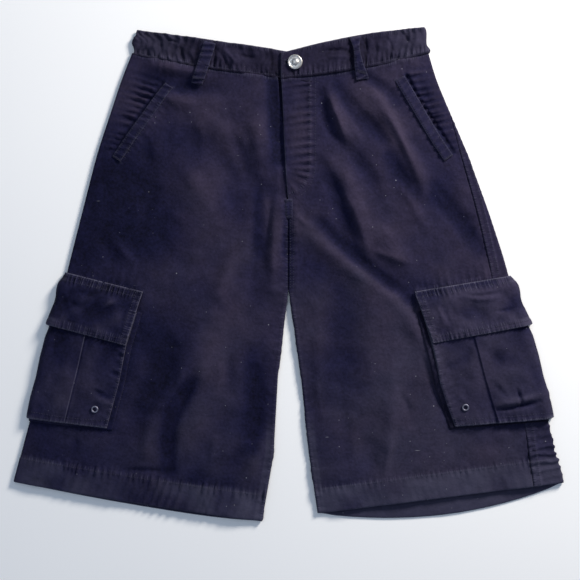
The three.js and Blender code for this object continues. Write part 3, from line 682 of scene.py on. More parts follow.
def twill(name, blue=NAVY_BLUE, grey=NAVY_GREY, worn=NAVY_WORN, worn_amount=0.8, lint=1.0):
    """Washed cotton twill. The values edge and seam on the mesh give distances in millimetres
    to a worn edge and to a line of stitching; along is the way along that stitching."""
    material, wire = new_material(
        name, Sheen_Weight=0.04, Sheen_Roughness=0.35, Specular_IOR_Level=0.08
    )
    spot = wire.spot()
    edge = wire.kept("edge")
    seam = wire.kept("seam")
    along = wire.kept("along")
    # Diagonal wales 0.7 mm apart, broken up by uneven yarn.
    diagonal = spot.stretch((1 / 0.0007, 1 / 0.0007, 0), turn=0.35)
    wale = wire.node(
        "ShaderNodeTexWave",
        {"Vector": diagonal, "Scale": 0.32, "Distortion": 1.2, "Detail": 1.0},
        output="Fac",
    )
    yarn = spot.noise(0.0011, detail=3.0)
    # The kept tone carries real fading together with painted light and shade: higher tone makes the cloth
    # greyer and brighter.
    fade = wire.kept("tone")
    cloud = (0.55 * spot.noise(0.06, detail=4.0) + 0.225 + 0.42 * fade).step(0.05, 0.95)
    # The cloth greys to a cooler blue towards the hems.
    up = wire.node("ShaderNodeSeparateXYZ", {"Vector": spot}, output=1)
    cooled = (0.3 - 2.2 * up + 1.5 * (spot.noise(0.05) - 0.5)).step(0.0, 1.0)
    mottle = spot.noise(0.012, detail=4.0)
    grain = spot.noise(0.0032, detail=2.0)
    wear = wire.kept("wear")
    near_edge = 1 - edge.step(0.2, 1.7)
    near_seam = 1 - wire.math("ABSOLUTE", seam).step(0.3, 3.6)
    ripple = wire.node(
        "ShaderNodeTexNoise",
        {"W": along / 1.7, "Scale": 1.0, "Detail": 1.0},
        noise_dimensions="1D",
    )
    rubbed = near_edge * (0.45 + 1.1 * (mottle - 0.35)) * worn_amount
    rubbed = rubbed + near_seam * ripple.step(0.5, 0.72) * 0.4 * worn_amount
    rubbed = rubbed + wear * (0.6 + 0.8 * mottle)
    light = 0.08 + 0.38 * fade + 0.54 * mottle + 0.76 * grain + 0.22 * yarn
    tone = cloud.blend(blue, cooled.blend(grey, NAVY_STEEL)).brightened(light)
    tone = wire.math("MINIMUM", rubbed, 1.0).blend(tone, worn)
    specks = []
    for size, reach, stretch, turn in LINT_SIZES:
        cells = spot.stretch((1 / stretch, 1, 1), turn=turn)
        cell = {"Vector": cells, "Scale": 1 / size}
        distance = wire.node("ShaderNodeTexVoronoi", cell)
        chance = wire.node("ShaderNodeTexVoronoi", cell, output="Color")
        chance = wire.node("ShaderNodeSeparateColor", {"Color": chance})
        specks.append((1 - distance.step(0.3 * reach, reach)) * chance.step(0.15, 0.80))
    fluff = (specks[0] + specks[1] + specks[2] + specks[3]) * (0.75 * lint)
    tone = wire.math("MINIMUM", fluff, 1.0).blend(tone, LINT)
    height = wale * 0.00006 + yarn * 0.00012 + mottle * 0.0010 + grain * 0.00028
    height = height + ripple * near_seam * 0.0006
    connect(
        material,
        Base_Color=tone,
        Roughness=0.80 + 0.12 * yarn,
        Normal=height.bump(0.9),
    )
    return material


# How far each front stops short of the centre front line beside the fly (plus), or laps over it.
FLY_CUTS = {
    "left": [(0, 12), (28, 10.5), (52, 6.5), (75, 2.5), (130, 2), (146, -0.8), (234, -0.8), (HEM, 0)],
    "right": [(0, -8.5), (60, -5.5), (110, -3), (128, -1.5), (138, 0.15), (HEM, 0)],
}
# The fronts part down to FLY_END, where the centre seam begins.
FLY_DOUBLE, FLY_STITCH, FLY_FOOT, FLY_END = 0.8, 27.0, 118.0, 138.0
HEM_EXTRA = 0.45
# How the fronts differ. Columns: height of the folds across the hem, height and pitch of the ticks
# at its stitching, drop of the cloth outside the pocket mouth, depth of the trough right beside the
# mouth and its painted shade, and wear of the hem.
FRONT_LOOKS = {
    "left": (0.7, 2.3, 6.4, 0.9, 1.4, 1.5, 0.15),
    "right": (0.22, 0.9, 5.8, 1.3, 2.4, 2.4, 0.34),
}
# Close steps up to a side seam, as distances from it.
SEAM_STEPS = np.array([*range(12, 0, -1), 0.4, 0])
FLY_CURVE = [(24, 222), (24, 150), (23.5, 121), (19, 106), (12, 97), (1, 92)]
POCKET_MOUTH = {
    "left": [(-140, 220), (-161, 191), (-182, 162), (-200, 136)],
    "right": [(131, 229), (153, 190), (176, 155), (188, 136)],
}
WELT_EDGE = {
    "left": [(-131, 214), (-151, 186), (-172, 156), (-190, 128)],
    "right": [(121, 222), (143, 184), (163, 149), (176, 129)],
}
FLAP_TOP = {"left": [(-165, -19), (-214, -8), (-255, 2)], "right": [(143, -19), (196, -8), (253, -1)]}
POCKET_SIDE = {
    "left": [(-172, -43), (-184, -81), (-192, -122), (-206, -173)],
    "right": [(151, -42), (162, -83), (172, -124), (189, -172)],
}
POCKET_FOOT = {
    "left": [(-206, -173), (-247, -170), (-292, -163)],
    "right": [(189, -172), (240, -169), (302, -163)],
}
# Puckers beside the seams. Columns: the line, reach to its left and to its right, pitch, height
# and how much the ripples lean.
PUCKERED = {
    "left": [
        (POCKET_MOUTH["left"], 0.5, 20, 8.6, 5.0, 0.35),
        (WELT_EDGE["left"], 8, 3, 8.5, 1.1, -0.2),
        (FLAP_TOP["left"], 3, 9, 8.0, 0.8, 0.0),
        (POCKET_SIDE["left"], 8, 3, 11.0, 0.7, 0.0),
        (POCKET_FOOT["left"], 3, 6, 10.0, 0.7, 0.0),
    ],
    "right": [
        (POCKET_MOUTH["right"], 18, 0.5, 7.8, 4.2, -0.35),
        (WELT_EDGE["right"], 3, 10, 8.5, 1.2, 0.2),
        (FLY_CURVE, 3, 15, 9.2, 2.6, 0.15),
        ([(28, 222), (28, 150), (27, 122), (22, 106)], 3, 3, 5.2, 1.3, 0.0),
        (FLAP_TOP["right"], 9, 3, 8.0, 0.8, 0.0),
        (POCKET_SIDE["right"], 3, 8, 11.0, 0.7, 0.0),
        (POCKET_FOOT["right"], 6, 3, 10.0, 0.7, 0.0),
    ],
}


def rounded(points, steps=8):
    """A smooth curve through a few points in plan."""
    points = np.asarray(points, float)
    padded = np.concatenate([[2 * points[0] - points[1]], points, [2 * points[-1] - points[-2]]])
    t = np.linspace(0, 1, steps, endpoint=False)[:, None]
    parts = []
    for a, b, c, d in zip(padded, padded[1:], padded[2:], padded[3:]):
        cubic = 3 * (b - c) + d - a
        parts.append(0.5 * (2 * b + (c - a) * t + (2 * a - 5 * b + 4 * c - d) * t**2 + cubic * t**3))
    return np.concatenate([*parts, points[-1:]])


def nearest(*lines):
    """Of several (signed distance, way along) pairs, the distance and way of the closest."""
    distance, along = np.abs(lines[0][0]), lines[0][1]
    for other, way in lines[1:]:
        closer = np.abs(other) < distance
        distance, along = np.where(closer, np.abs(other), distance), np.where(closer, way, along)
    return distance, along


def seam_relief(side, x, y):
    """The height of the puckers beside a front's seams."""
    total = np.zeros(x.shape)
    for number, (line, left, right, pitch, height, lean) in enumerate(PUCKERED[side]):
        signed, along, length = near_curve(rounded(line), x, y)
        reach = np.where(signed > 0, left, right)
        ends = smooth(along / 8) * smooth((length - along) / 8)
        wave = puckers(along + lean * signed, pitch, 11 * number + len(side))
        if line is POCKET_MOUTH[side] or line is WELT_EDGE[side]:
            wave = wave * smooth(np.abs(signed) / 5)
        total += height * wave * np.exp(-np.abs(signed) / reach) * (0.3 + 0.7 * ends)
    return total


def hem_extra(down):
    """How much thicker each side of a panel is where its hem is turned up."""
    return HEM_EXTRA * smooth((down - HEM_LINE) / 1.5)


def build_front(side):
    hand = HAND[side]
    hem_fold, tick, tick_pitch, dropped, trough, mouth_shade, hem_worn = FRONT_LOOKS[side]
    down = ladder((SEAM_GAP / 2, 12, 1.5), (12, CLOSE_ROWS, 2.1), (CLOSE_ROWS, HEM, 1.5))[:, None]
    row = Section(side, down)
    cut = np.where(down < CROTCH, read(FLY_CUTS[side], down)[..., 1], 0.005)
    end = row.outermost() - row.seam - SEAM_GAP / 2
    near = cut + np.array([0, 0.1, 0.35, 0.75, 1.3, 1.9, 2.6, 3.6, 4.8])
    middle = mix(cut + 6.2, end - 13.5, np.linspace(0, 1, 118))
    path = np.concatenate([near, middle, end - SEAM_STEPS], axis=1)
    turn = row.turn(path)
    points = skin(side, down, turn)
    x, y = points[..., 0], points[..., 1]
    on_top = smooth((2.0 - turn) * 8)
    from_edge, to_end = path - cut, end - path

    relief = seam_relief(side, x, y)
    # Gathers hang from the waistband, most at the sides, and small folds cross the hem.
    gathers = 0.15 + 0.5 * smooth((np.abs(x) - 60) / 80)
    relief += gathers * puckers(path, 10.5, 5) * np.exp(-down / 10) * smooth(down / 4)
    in_hem = smooth((down - HEM_LINE + 6) / 8)
    hem_folds = hem_fold + 1.2 * bell(x + 145, 44)
    relief += in_hem * hem_folds * puckers(path + 0.2 * (HEM - down), 9.5, 21)
    relief += tick * bell(down - HEM_LINE - 1, 6) * puckers(path, tick_pitch, 23)
    # The centre seam pulls in below the fly, and the inseam puckers a little.
    seamed = smooth((down - FLY_END + 2) / 6) * smooth((CROTCH + 9 - down) / 8)
    relief -= seamed * (1.3 * bell(from_edge, 3.2) - 0.7 * bell(from_edge - 8, 4))
    relief += seamed * 0.7 * puckers(down, 9.5, 31) * bell(from_edge - 6, 4)
    relief += row.leg * 0.5 * puckers(down, 9, 33) * bell(from_edge - 4, 6)
    # Cloth outside the pocket mouth drops under the welt's edge, most of all right beside it.
    signed, along, length = near_curve(rounded(POCKET_MOUTH[side]), x, y)
    outside = np.maximum(signed * hand, 0)
    mouth = smooth(along / 6) * smooth((length - along) / 6)
    relief -= dropped * mouth * smooth(outside / 0.8) * np.exp(-outside / 11)
    relief -= trough * mouth * bell(signed * hand - 1.6, 1.9)
    # The cloth is never quite even, but it is pressed flat under the cargo pocket.
    relief += 1.1 * clouds(x, y, 34, 41) + 0.6 * clouds(x + 0.4 * y, y, 16, 43)
    relief += 0.30 * clouds(x - 0.3 * y, y, 8, 45)
    beside_pocket = near_curve(rounded(POCKET_SIDE[side]), x, y)[0] * hand
    under = smooth((beside_pocket + 8) / 4) * smooth((-12 - y) / 6) * smooth((y + 180) / 4)
    relief = relief * (1 - under)
    # Painted shade below and beside the cargo pocket, along the welt and in the trough beside the pocket
    # mouth.
    below = -near_curve(rounded(POCKET_FOOT[side]), x, y)[0] * hand
    painted_shade = smooth((below + 1) / 2) * np.exp(-np.maximum(below, 0) / 6) * smooth((beside_pocket + 6) / 6)
    painted_shade += 0.6 * np.exp(-np.abs(beside_pocket + 7) / 5) * smooth((-40 - y) / 20) * (y > -180)
    for line, depth in ((WELT_EDGE[side], 0.5), (POCKET_MOUTH[side], mouth_shade)):
        beside_welt, along, length = near_curve(rounded(line), x, y)
        ends = smooth(along / 3) * smooth((length - along) / 3)
        painted_shade += depth * ends * bell(beside_welt - hand, 2.2)

    # The fly's edge is doubled. The other front thins out where it lies under the fly and the seam.
    double = thin = 0.0
    if side == "right":
        double = FLY_DOUBLE * smooth((FLY_STITCH - path) / 3) * smooth((FLY_FOOT - down) / 10)
        double += 0.3 * bell(from_edge - 1.6, 1.6) * smooth((FLY_END - 8 - down) / 6)
    else:
        thin = 1.9 * smooth((12.5 - path) / 4) * smooth((FLY_END + 4 - down) / 10)
        in_seam = smooth((down - FLY_END) / 8) * (down < CROTCH)
        thin = np.maximum(thin, 1.8 * smooth((1.5 - path) / 1.3) * in_seam)
    rolled = 0.35 * (bell(from_edge, 0.35) + bell(to_end, 0.35)) + 0.4 * bell(HEM - down, 0.6)
    hem = hem_extra(down)
    outer = relief * on_top + hem + double - thin - rolled
    inner = relief * on_top - CLOTH - hem - thin + rolled * 0.5

    fly_edge = np.where((down < FLY_END) & (side == "right"), from_edge, FAR)
    lines = [
        (down - 2.0, path),
        (down - HEM_LINE, path),
        near_curve(rounded(WELT_EDGE[side]), x, y)[:2],
        near_curve(rounded(FLAP_TOP[side]), x, y)[:2],
        (np.where(down > FLY_END - 8, from_edge - 2.0, FAR), down),
    ]
    if side == "right":
        lines.append(near_curve(rounded(FLY_CURVE), x, y)[:2])
    signed, along = nearest(*lines)
    wear = smooth((down - HEM_LINE + 1) / 2) * np.clip(hem_worn + 0.3 * clouds(x, y, 24, 47), 0, 1)
    if side == "left":
        wear += 0.22 * in_hem * (bell(x + 285, 26) + bell(x + 60, 34) - 0.5 * bell(x + 150, 30))
    wear += 0.28 * row.leg * smooth((11 - from_edge) / 3) * smooth((down - 380) / 40)
    wear += 0.22 * bell(down - 2.0, 1.6) * (0.6 + 0.4 * puckers(path, 7.0, 49))
    # The ridge values paint light on the tops and shade in the hollows of the folds and puckers, and add
    # the painted shade.
    return shell(
        f"front_{side}_cloth",
        moved_out(side, points, outer),
        moved_out(side, points, inner),
        edge=np.minimum(fly_edge, HEM - down),
        seam=signed,
        along=along,
        wear=np.clip(wear, 0, 1),
        ridge=0.13 * fold_height(x, y) + 0.22 * relief - 0.9 * painted_shade,
    )


# Topstitching, and the close stitches of a tack.
STITCH_PITCH, STITCH_LENGTH, THREAD = 3.0, 2.3, 0.55
TACK_PITCH, TACK_LENGTH = 1.1, 1.3


def stitching_nodes():
    """Sets one stitch on each step along a line, end to end with the line."""
    tree = bpy.data.node_groups.new("topstitching", "GeometryNodeTree")
    sockets = [("Line", "NodeSocketGeometry"), ("Pitch", "NodeSocketFloat")]
    sockets += [("Stitch Size", "NodeSocketVector"), ("Thread", "NodeSocketMaterial")]
    for label, kind in sockets:
        tree.interface.new_socket(label, in_out="INPUT", socket_type=kind)
    tree.interface.new_socket("Stitches", in_out="OUTPUT", socket_type="NodeSocketGeometry")
    new, link = tree.nodes.new, tree.links.new
    given, result = new("NodeGroupInput"), new("NodeGroupOutput")
    line, even = new("GeometryNodeMeshToCurve"), new("GeometryNodeResampleCurve")
    even.mode = "LENGTH"
    stitch, along = new("GeometryNodeMeshIcoSphere"), new("GeometryNodeInputTangent")
    turn, place = new("FunctionNodeAlignRotationToVector"), new("GeometryNodeInstanceOnPoints")
    turn.axis = "X"
    real, paint = new("GeometryNodeRealizeInstances"), new("GeometryNodeSetMaterial")
    link(given.outputs["Line"], line.inputs["Mesh"])
    link(line.outputs["Curve"], even.inputs["Curve"])
    link(given.outputs["Pitch"], even.inputs["Length"])
    link(even.outputs["Curve"], place.inputs["Points"])
    link(stitch.outputs["Mesh"], place.inputs["Instance"])
    link(along.outputs["Tangent"], turn.inputs["Vector"])
    link(turn.outputs["Rotation"], place.inputs["Rotation"])
    link(given.outputs["Stitch Size"], place.inputs["Scale"])
    link(place.outputs["Instances"], real.inputs["Geometry"])
    link(real.outputs["Geometry"], paint.inputs["Geometry"])
    link(given.outputs["Thread"], paint.inputs["Material"])
    link(paint.outputs["Geometry"], result.inputs["Stitches"])
    return tree


topstitching = stitching_nodes()


def sewing_thread(name, dark, pale):
    """Twisted cotton thread, paler where it has rubbed."""
    material, wire = new_material(name, Specular_IOR_Level=0.2, Sheen_Weight=0.05)
    spot = wire.spot()
    ply = spot.noise(0.0005)
    connect(
        material,
        Base_Color=spot.noise(0.02).blend(dark, pale),
        Roughness=0.62 + 0.2 * ply,
        Normal=(ply * 0.0002).bump(0.8),
    )
    return material


navy_thread = sewing_thread("navy_thread", (0.018, 0.018, 0.042, 1), (0.036, 0.035, 0.064, 1))
dark_thread = sewing_thread("dark_thread", (0.006, 0.006, 0.018, 1), (0.020, 0.019, 0.040, 1))


def beside(line, distance=0.0):
    """A smooth curve through points in plan, moved to its left, with a point every millimetre."""
    curve = rounded(line)
    way = np.gradient(curve, axis=0)
    way /= np.linalg.norm(way, axis=1, keepdims=True)
    curve = curve + distance * np.stack([-way[:, 1], way[:, 0]], axis=1)
    lengths = np.concatenate([[0], np.cumsum(np.hypot(*np.diff(curve, axis=0).T))])
    even = np.linspace(0, lengths[-1], max(3, int(lengths[-1]) + 1))
    return np.stack([np.interp(even, lengths, column) for column in curve.T], axis=1)


def topstitch(name, cloth, lines, pitch=STITCH_PITCH, length=STITCH_LENGTH, thread=navy_thread):
    """Rows of stitches lying on a cloth piece, along lines in plan."""
    corners = [corner.co for corner in cloth.data.vertices]
    surface = BVHTree.FromPolygons(corners, [tuple(face.vertices) for face in cloth.data.polygons])
    points, edges = [], []
    for line in lines:
        before = None
        for x, y in line:
            start = (x * MM + ORIGIN[0], y * MM + ORIGIN[1], 0.1)
            hit = surface.ray_cast(start, (0, 0, -1))[0]
            if hit is None:
                before = None
                continue
            points.append((hit[0], hit[1], hit[2] + 0.12 * THREAD * MM))
            if before is not None:
                edges.append((before, len(points) - 1))
            before = len(points) - 1
    mesh = bpy.data.meshes.new(name)
    mesh.from_pydata(points, edges, [])
    rows = add_object(name, mesh)
    sewn = rows.modifiers.new("topstitching", "NODES")
    sewn.node_group = topstitching
    size = (length / 2 * MM, THREAD / 2 * MM, THREAD / 2 * MM)
    inputs = {"Pitch": pitch * MM, "Stitch Size": size, "Thread": thread}
    for item in topstitching.interface.items_tree:
        if item.in_out == "INPUT" and item.name in inputs:
            sewn[item.identifier] = inputs[item.name]
    shown = rows.evaluated_get(bpy.context.evaluated_depsgraph_get())
    rows.data = bpy.data.meshes.new_from_object(shown)
    rows.modifiers.clear()
    rows.data.shade_smooth()
    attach(rows, "root")
    return rows


def level_line(side, down, start, end):
    """A line across one half at one distance down, from one way out to another."""
    row = Section(side, down)
    return np.stack(row.plan(np.linspace(start, end, int(abs(end - start)) + 1)), axis=-1)


front_twill = twill("front_twill")
for side in ("left", "right"):
    front = build_front(side)
    dress(front, f"front_{side}", front_twill)
    lines = [level_line(side, HEM_LINE + 1.5, 1.0, 300.0)]
    if side == "right":
        lines += [beside(FLY_CURVE), beside(FLY_CURVE, 6.5)]
        lines += [beside([(2.2, 62), (2.2, 20), (2.2, -14)]), beside([(6.5, 66), (6.0, 20), (5.5, -14)])]
    topstitch(f"front_{side}_thread", front, lines)


# The two backs: the same twill. Each turns up round the outer fold to the side seam, which at the
# right lies on the front under a felled, puckered ridge, and the back hems hang out a little lower.
FELLED_WIDTH, FELLED_RISE, UNDERSIDE = 9.2, 0.9, 290.0
INSEAM_TURN = SEAM_GAP / 2 / ARC
# Columns: how far the back hem hangs out, and where across the leg it hangs lowest.
BACK_DROPS = {"left": (3.0, 0.75), "right": (20.5, 0.5)}


def build_back(side):
    fine = side == "right"
    step = 1.7 if fine else 4.0
    down = ladder((SEAM_GAP / 2, CLOSE_ROWS, step), (CLOSE_ROWS, HEM, 1.6))[:, None]
    row = Section(side, down)
    # Ways from the outermost line back to the side seam, then turns on under the leg.
    seam = row.seam - SEAM_GAP / 2
    top_end = np.minimum(ARC, seam - 1.2)
    fold_end = np.minimum(-ARC, top_end - 1.8)
    near = np.array([0, 0.4, 0.9]) * np.minimum(1, (seam - top_end) / 1.2)
    on_top = mix(seam - 0.9 - 0.6 * (near[:, -1:] - 0.9), top_end, np.linspace(0.05, 1, 22 if fine else 2))
    seams = np.concatenate([seam - near, on_top, mix(top_end, fold_end, np.linspace(0.1, 1, 9))], axis=1)
    turns = row.turn(row.outermost() - seams)
    flat = mix(turns[:, -1:], 5.0, np.linspace(0.06, 1, 16))
    last = mix(5.0, 6.0 - INSEAM_TURN, np.linspace(0.2, 1, 5)) + 0 * down
    turn = np.concatenate([turns, flat, last], axis=1)
    drop, peak = BACK_DROPS[side]
    across = np.clip(turn - 4, 0, 1)
    share = np.where(across < peak, 0.5 * across / peak, 0.5 + 0.5 * (across - peak) / (1 - peak))
    bulge = np.sin(np.pi * share) ** 0.8
    level = down + drop * bulge * smooth((down - 380) / 110)
    points = skin(side, level, turn)

    beyond = np.full((len(down), flat.shape[1] + last.shape[1]), 50.0)
    from_seam = seam + np.concatenate([-seams, beyond], axis=1)
    wide = smooth((seam - 8) / 4)
    clear = smooth((down - 248) / 8) * (1 - smooth((down - 440) / 6))
    ridge = smooth(from_seam / 0.8) * smooth((FELLED_WIDTH + 0.8 - from_seam) / 1.2)
    felled = FELLED_RISE * ridge * (1 - clear) * wide
    top = smooth((4.2 - turn) * 3)
    creased = 0.55 * puckers(down + 0.5 * from_seam, 7.5, 51) * np.exp(-from_seam / 11)
    crumpled = smooth((down - 428) / 8) * smooth((500 - down) / 6)
    lumps = clouds(from_seam * 0.9, down, 7.5, 53)
    creased += crumpled * (1.3 * puckers(down + 2.5 * lumps, 8.5, 53) + 0.9 * lumps)
    hem = hem_extra(down)
    edge_roll = 0.4 * bell(HEM - down, 0.6) + 0.3 * bell(from_seam, 0.35)
    outer = (hem + felled + creased * smooth((seam + 2) / 6) - edge_roll) * top
    inner = -CLOTH - hem + creased * top * smooth((seam + 2) / 6) * 0.5 + edge_roll * 0.5
    under = across * UNDERSIDE
    inner = inner - 0.25 * (1 - top) * puckers(under, 14, 57) * smooth((down - 440) / 20)
    signed, along = nearest(
        (down - HEM_LINE, under),
        (from_seam - 1.8, down),
        (from_seam - FELLED_WIDTH + 1.2, down + 7),
    )
    return shell(
        f"back_{side}_cloth",
        moved_out(side, points, outer),
        moved_out(side, points, inner),
        edge=HEM - down,
        seam=signed,
        along=along,
        wear=(0.16 if side == "left" else 0.40) * smooth((down - HEM_LINE + 1) / 2),
    )


for side in ("left", "right"):
    back = build_back(side)
    dress(back, f"back_{side}", front_twill)
    if side == "right":
        row = Section(side, np.arange(70, 500, 1.5))
        lines = [
            np.stack(row.plan(row.outermost() - row.seam + inset), axis=-1)
            for inset in (1.8, FELLED_WIDTH - 1.0)
        ]
        lines.append(level_line(side, HEM_LINE + 1.5, 246.0, 300.0))
        topstitch("back_right_thread", back, lines)


# The waistband: doubled twill on elastic, two front lengths lapped at the button and one back
# length, topstitched along both edges and crumpled by the elastic towards the side seams.
BAND_DEPTH, BAND_OUT, BAND_IN, BACK_BAND_IN = 30.0, 1.2, -1.8, -2.4
BAND_START = {"left": -27.0, "right": -9.0}
BAND_LAP = 1.0
# How far in from both long edges the band is topstitched.
BAND_STITCH = 2.4
# Where each belt loop crosses the band: x, and how much it leans.
BAND_LOOPS = {"left": (-96, 0.34), "right": (79, -0.12)}
# The laps at the button. Columns: how far out the slope to them starts, its length, and how far
# the band's outer and inner faces lie from their own level in the lap.
BAND_LAPS = {"left": (21, 10, -3.0, -2.2), "right": (30, 12, 0.3, 0.3)}
BUTTON = (7.4, 241.0)
HOLE_EYE, HOLE_LENGTH, HOLE_WIDTH = 3.2, 12.0, 2.0
# The band's larger creases. Columns: start, bend and end in plan, width and height.
BAND_CREASES = {
    "left": [
        ((-146, 267), (-142, 254), (-150, 245), 3.0, -2.0),
        ((-152, 264), (-150, 255), (-156, 247), 4.0, 1.2),
        ((-138, 268), (-132, 265), (-126, 264), 2.6, -1.8),
        ((-124, 262), (-121, 254), (-122, 245), 2.8, -1.8),
        ((-84, 262), (-82, 247), (-86, 231), 2.8, -2.2),
        ((-80, 255), (-71, 244), (-66, 229), 3.2, -1.6),
        ((-74, 256), (-64, 248), (-58, 236), 4.0, 1.3),
        ((-56, 250), (-46, 246), (-36, 247), 3.0, -1.2),
        ((-19, 249), (-19, 238), (-20, 229), 2.4, -1.6),
    ],
    "right": [
        ((34, 252), (52, 258), (72, 253), 3.2, -1.6),
        ((36, 244), (54, 250), (70, 246), 4.0, 1.0),
        ((88, 270), (87, 262), (90, 251), 2.8, -2.2),
        ((97, 267), (101, 258), (99, 249), 3.2, -1.2),
        ((112, 268), (118, 262), (116, 252), 3.6, -1.3),
        ((128, 276), (134, 270), (138, 262), 3.0, -1.3),
    ],
}


def band_relief(side, down, path, x, y):
    """Crumples and ripples of the elasticated band."""
    level = -down / BAND_DEPTH
    by_edge = 0.45 + 0.55 * smooth(np.abs(2 * level - 1) * 1.1)
    gather = 0.42 + 0.85 * smooth((np.abs(x) - 62) / 60) + 0.3 * bell(np.abs(x) - 60, 20)
    gather = gather * (1 - 0.8 * bell(x - BAND_LOOPS[side][0], 8)) * (1.0 if side == "left" else 0.6)
    seed = 61 if side == "left" else 67
    ripples = puckers(path + 5 * wander(level * 2.3 + path / 60, seed), 8.5, seed + 1)
    crumple = clouds(path + 0.5 * down, down * 1.1, 18, seed + 2)
    crumple = crumple + 0.35 * clouds(path - 0.4 * down, down * 1.4, 9, seed + 4)
    fine = puckers(path, 5.6, seed + 3) * bell(level - 0.16, 0.14)
    calm = 0.35 + 0.65 * smooth((BAND_LAP - down) / 4)
    total = gather * (1.3 * ripples * by_edge + 2.5 * crumple) + 1.1 * fine + 0.6 * crumple
    for start, bend, end, width, height in BAND_CREASES[side]:
        signed, along, length = near_curve(bend_curve(start, bend, end), x, y)
        ends = 0.3 + 0.7 * smooth(3 * np.minimum(along, length - along) / length)
        total += height * bell(signed, width / 2) * ends
    return calm * total


def band_rims(down):
    """How far the folded top edge and the seamed foot of the band roll off."""
    return 0.7 * bell(BAND_DEPTH + down, 0.9) + 0.45 * bell(down - BAND_LAP, 0.6)


def build_front_band(side):
    down = ladder((-BAND_DEPTH, -27.5, 0.6), (-27.5, -2.5, 1.0), (-2.5, BAND_LAP, 0.5))[:, None]
    row = Section(side, down)
    start = BAND_START[side]
    end = row.outermost() - row.seam - SEAM_GAP / 2
    begin = start + np.array([0, 0.3, 0.8, 1.4]) + 0 * down
    lap = mix(start + 2.0, 22.0, np.linspace(0, 1, 44)) + 0 * down
    rest = mix(23.2, end - 13, np.linspace(0, 1, 100))
    path = np.concatenate([begin, lap, rest, end - SEAM_STEPS], axis=1)
    points = skin(side, down, row.turn(path))
    x, y = points[..., 0], points[..., 1]
    relief = band_relief(side, down, path, x, y) * smooth((path - start - 4) / 16)
    rims = band_rims(down) + 0.6 * bell(path - start, 0.6)
    reach, slope, outer_shift, inner_shift = BAND_LAPS[side]
    lapped = smooth((reach - path) / slope)
    outer, inner = BAND_OUT + outer_shift * lapped, BAND_IN + inner_shift * lapped
    rows_of_stitching = (down + BAND_STITCH, down + BAND_DEPTH - BAND_STITCH)
    stitched = 0.22 * (bell(rows_of_stitching[0], 0.8) + bell(rows_of_stitching[1], 0.8))
    holes = None
    if side == "right":
        off_x, off_y = x - BUTTON[0], y - BUTTON[1]
        eye = np.hypot(off_x, off_y) < HOLE_EYE
        slit = (np.abs(off_y) < HOLE_WIDTH / 2) & (off_x < 0) & (off_x > -HOLE_LENGTH)
        hole = eye | slit
        holes = hole[:-1, :-1] & hole[1:, 1:]
    loop_x, lean = BAND_LOOPS[side]
    beside_loop = bell(np.abs(x - loop_x + lean * (down + 15)) - 8, 2.4)
    # The ridge values paint light on the crumples' tops and shade in their hollows, beside the belt loop
    # and along the band's foot.
    return shell(
        f"waistband_{side}_cloth",
        moved_out(side, points, outer + relief - rims - stitched - 0.5 * beside_loop),
        moved_out(side, points, mix(inner + relief * 0.6, 0.2, smooth((down + 0.9) / 0.6))),
        holes=holes,
        edge=np.minimum(BAND_DEPTH + down, np.where(side == "right", path - start, FAR)),
        seam=nearest(*((distance, path) for distance in rows_of_stitching))[0],
        along=path,
        ridge=0.22 * relief - 0.9 * beside_loop - 0.8 * bell(down - BAND_LAP + 0.8, 1.4),
        wear=0.16 * smooth((np.abs(x) - 95) / 45),
    )


def build_back_band():
    down = ladder((-BAND_DEPTH, -SEAM_GAP / 2, 1.5))[:, None]
    outers, inners, alongs = [], [], []
    for side in ("left", "right"):
        row = Section(side, down)
        first = row.turn(row.outermost() - row.seam + SEAM_GAP / 2)
        turn = mix(first, 6.0 - INSEAM_TURN, np.linspace(0, 1, 110))
        points = skin(side, down, turn)
        path = (turn - first) * row.flat
        drawn = 0.5 * (1 + puckers(path, 9.0, 71)) * smooth((turn - first) * 12)
        rims = band_rims(down)
        outer = -0.45 * drawn - rims * 0.4
        inner = BACK_BAND_IN - 0.3 * drawn + rims * 0.4
        grids = [moved_out(side, points, outer), moved_out(side, points, inner), path]
        if side == "right":
            grids = [grid[:, ::-1] for grid in grids]
        for parts, grid in zip((outers, inners, alongs), grids):
            parts.append(grid)
    return shell(
        "waistband_back_cloth",
        np.concatenate(outers, axis=1),
        np.concatenate(inners, axis=1),
        edge=BAND_DEPTH + down,
        seam=nearest((down + BAND_STITCH, down), (down + BAND_DEPTH - BAND_STITCH, down))[0],
        along=np.concatenate(alongs, axis=1),
    )


BAND_NAVY = (0.0132, 0.0114, 0.0315, 1)
NAVY_TRIM = (0.0222, 0.0190, 0.0400, 1)
band_twill = twill("band_twill", BAND_NAVY, NAVY_TRIM, worn_amount=0.8, lint=0.5)
for side, length, area in (("left", 0.215, 0.0060), ("right", 0.175, 0.0050)):
    band = build_front_band(side)
    dress(band, f"waistband_{side}", band_twill)
    start = -7.0 if side == "right" else -5.0
    lines = [level_line(side, level, start, 176.0) for level in (-1.6, BAND_STITCH - BAND_DEPTH)]
    if side == "right":
        lines.append(np.stack([level_line(side, level, start, start + 1)[0] for level in range(-27, -2)]))
        hole_end = BUTTON[0] - HOLE_LENGTH
        bars = [
            beside([(x, BUTTON[1] + lift), (x, BUTTON[1] + lift + 1.4)])
            for x in np.arange(hole_end - 0.6, hole_end + 4.0, 0.7)
            for lift in (-2.6, 1.2)
        ]
        topstitch("buttonhole_purl", band, bars, 1.2, 1.5)
    topstitch(f"waistband_{side}_thread", band, lines)
dress(build_back_band(), "waistband_back", band_twill)


# The shank button: a nickel-plated jeans button on the underlap, pushed up through a worked hole.
# It has a rolled rim, a milled ring and a plain domed centre.
BUTTON_RADIUS, SHANK_RADIUS, SHANK_FOOT, CAP_FOOT = 8.5, 2.5, 5.2, 8.6
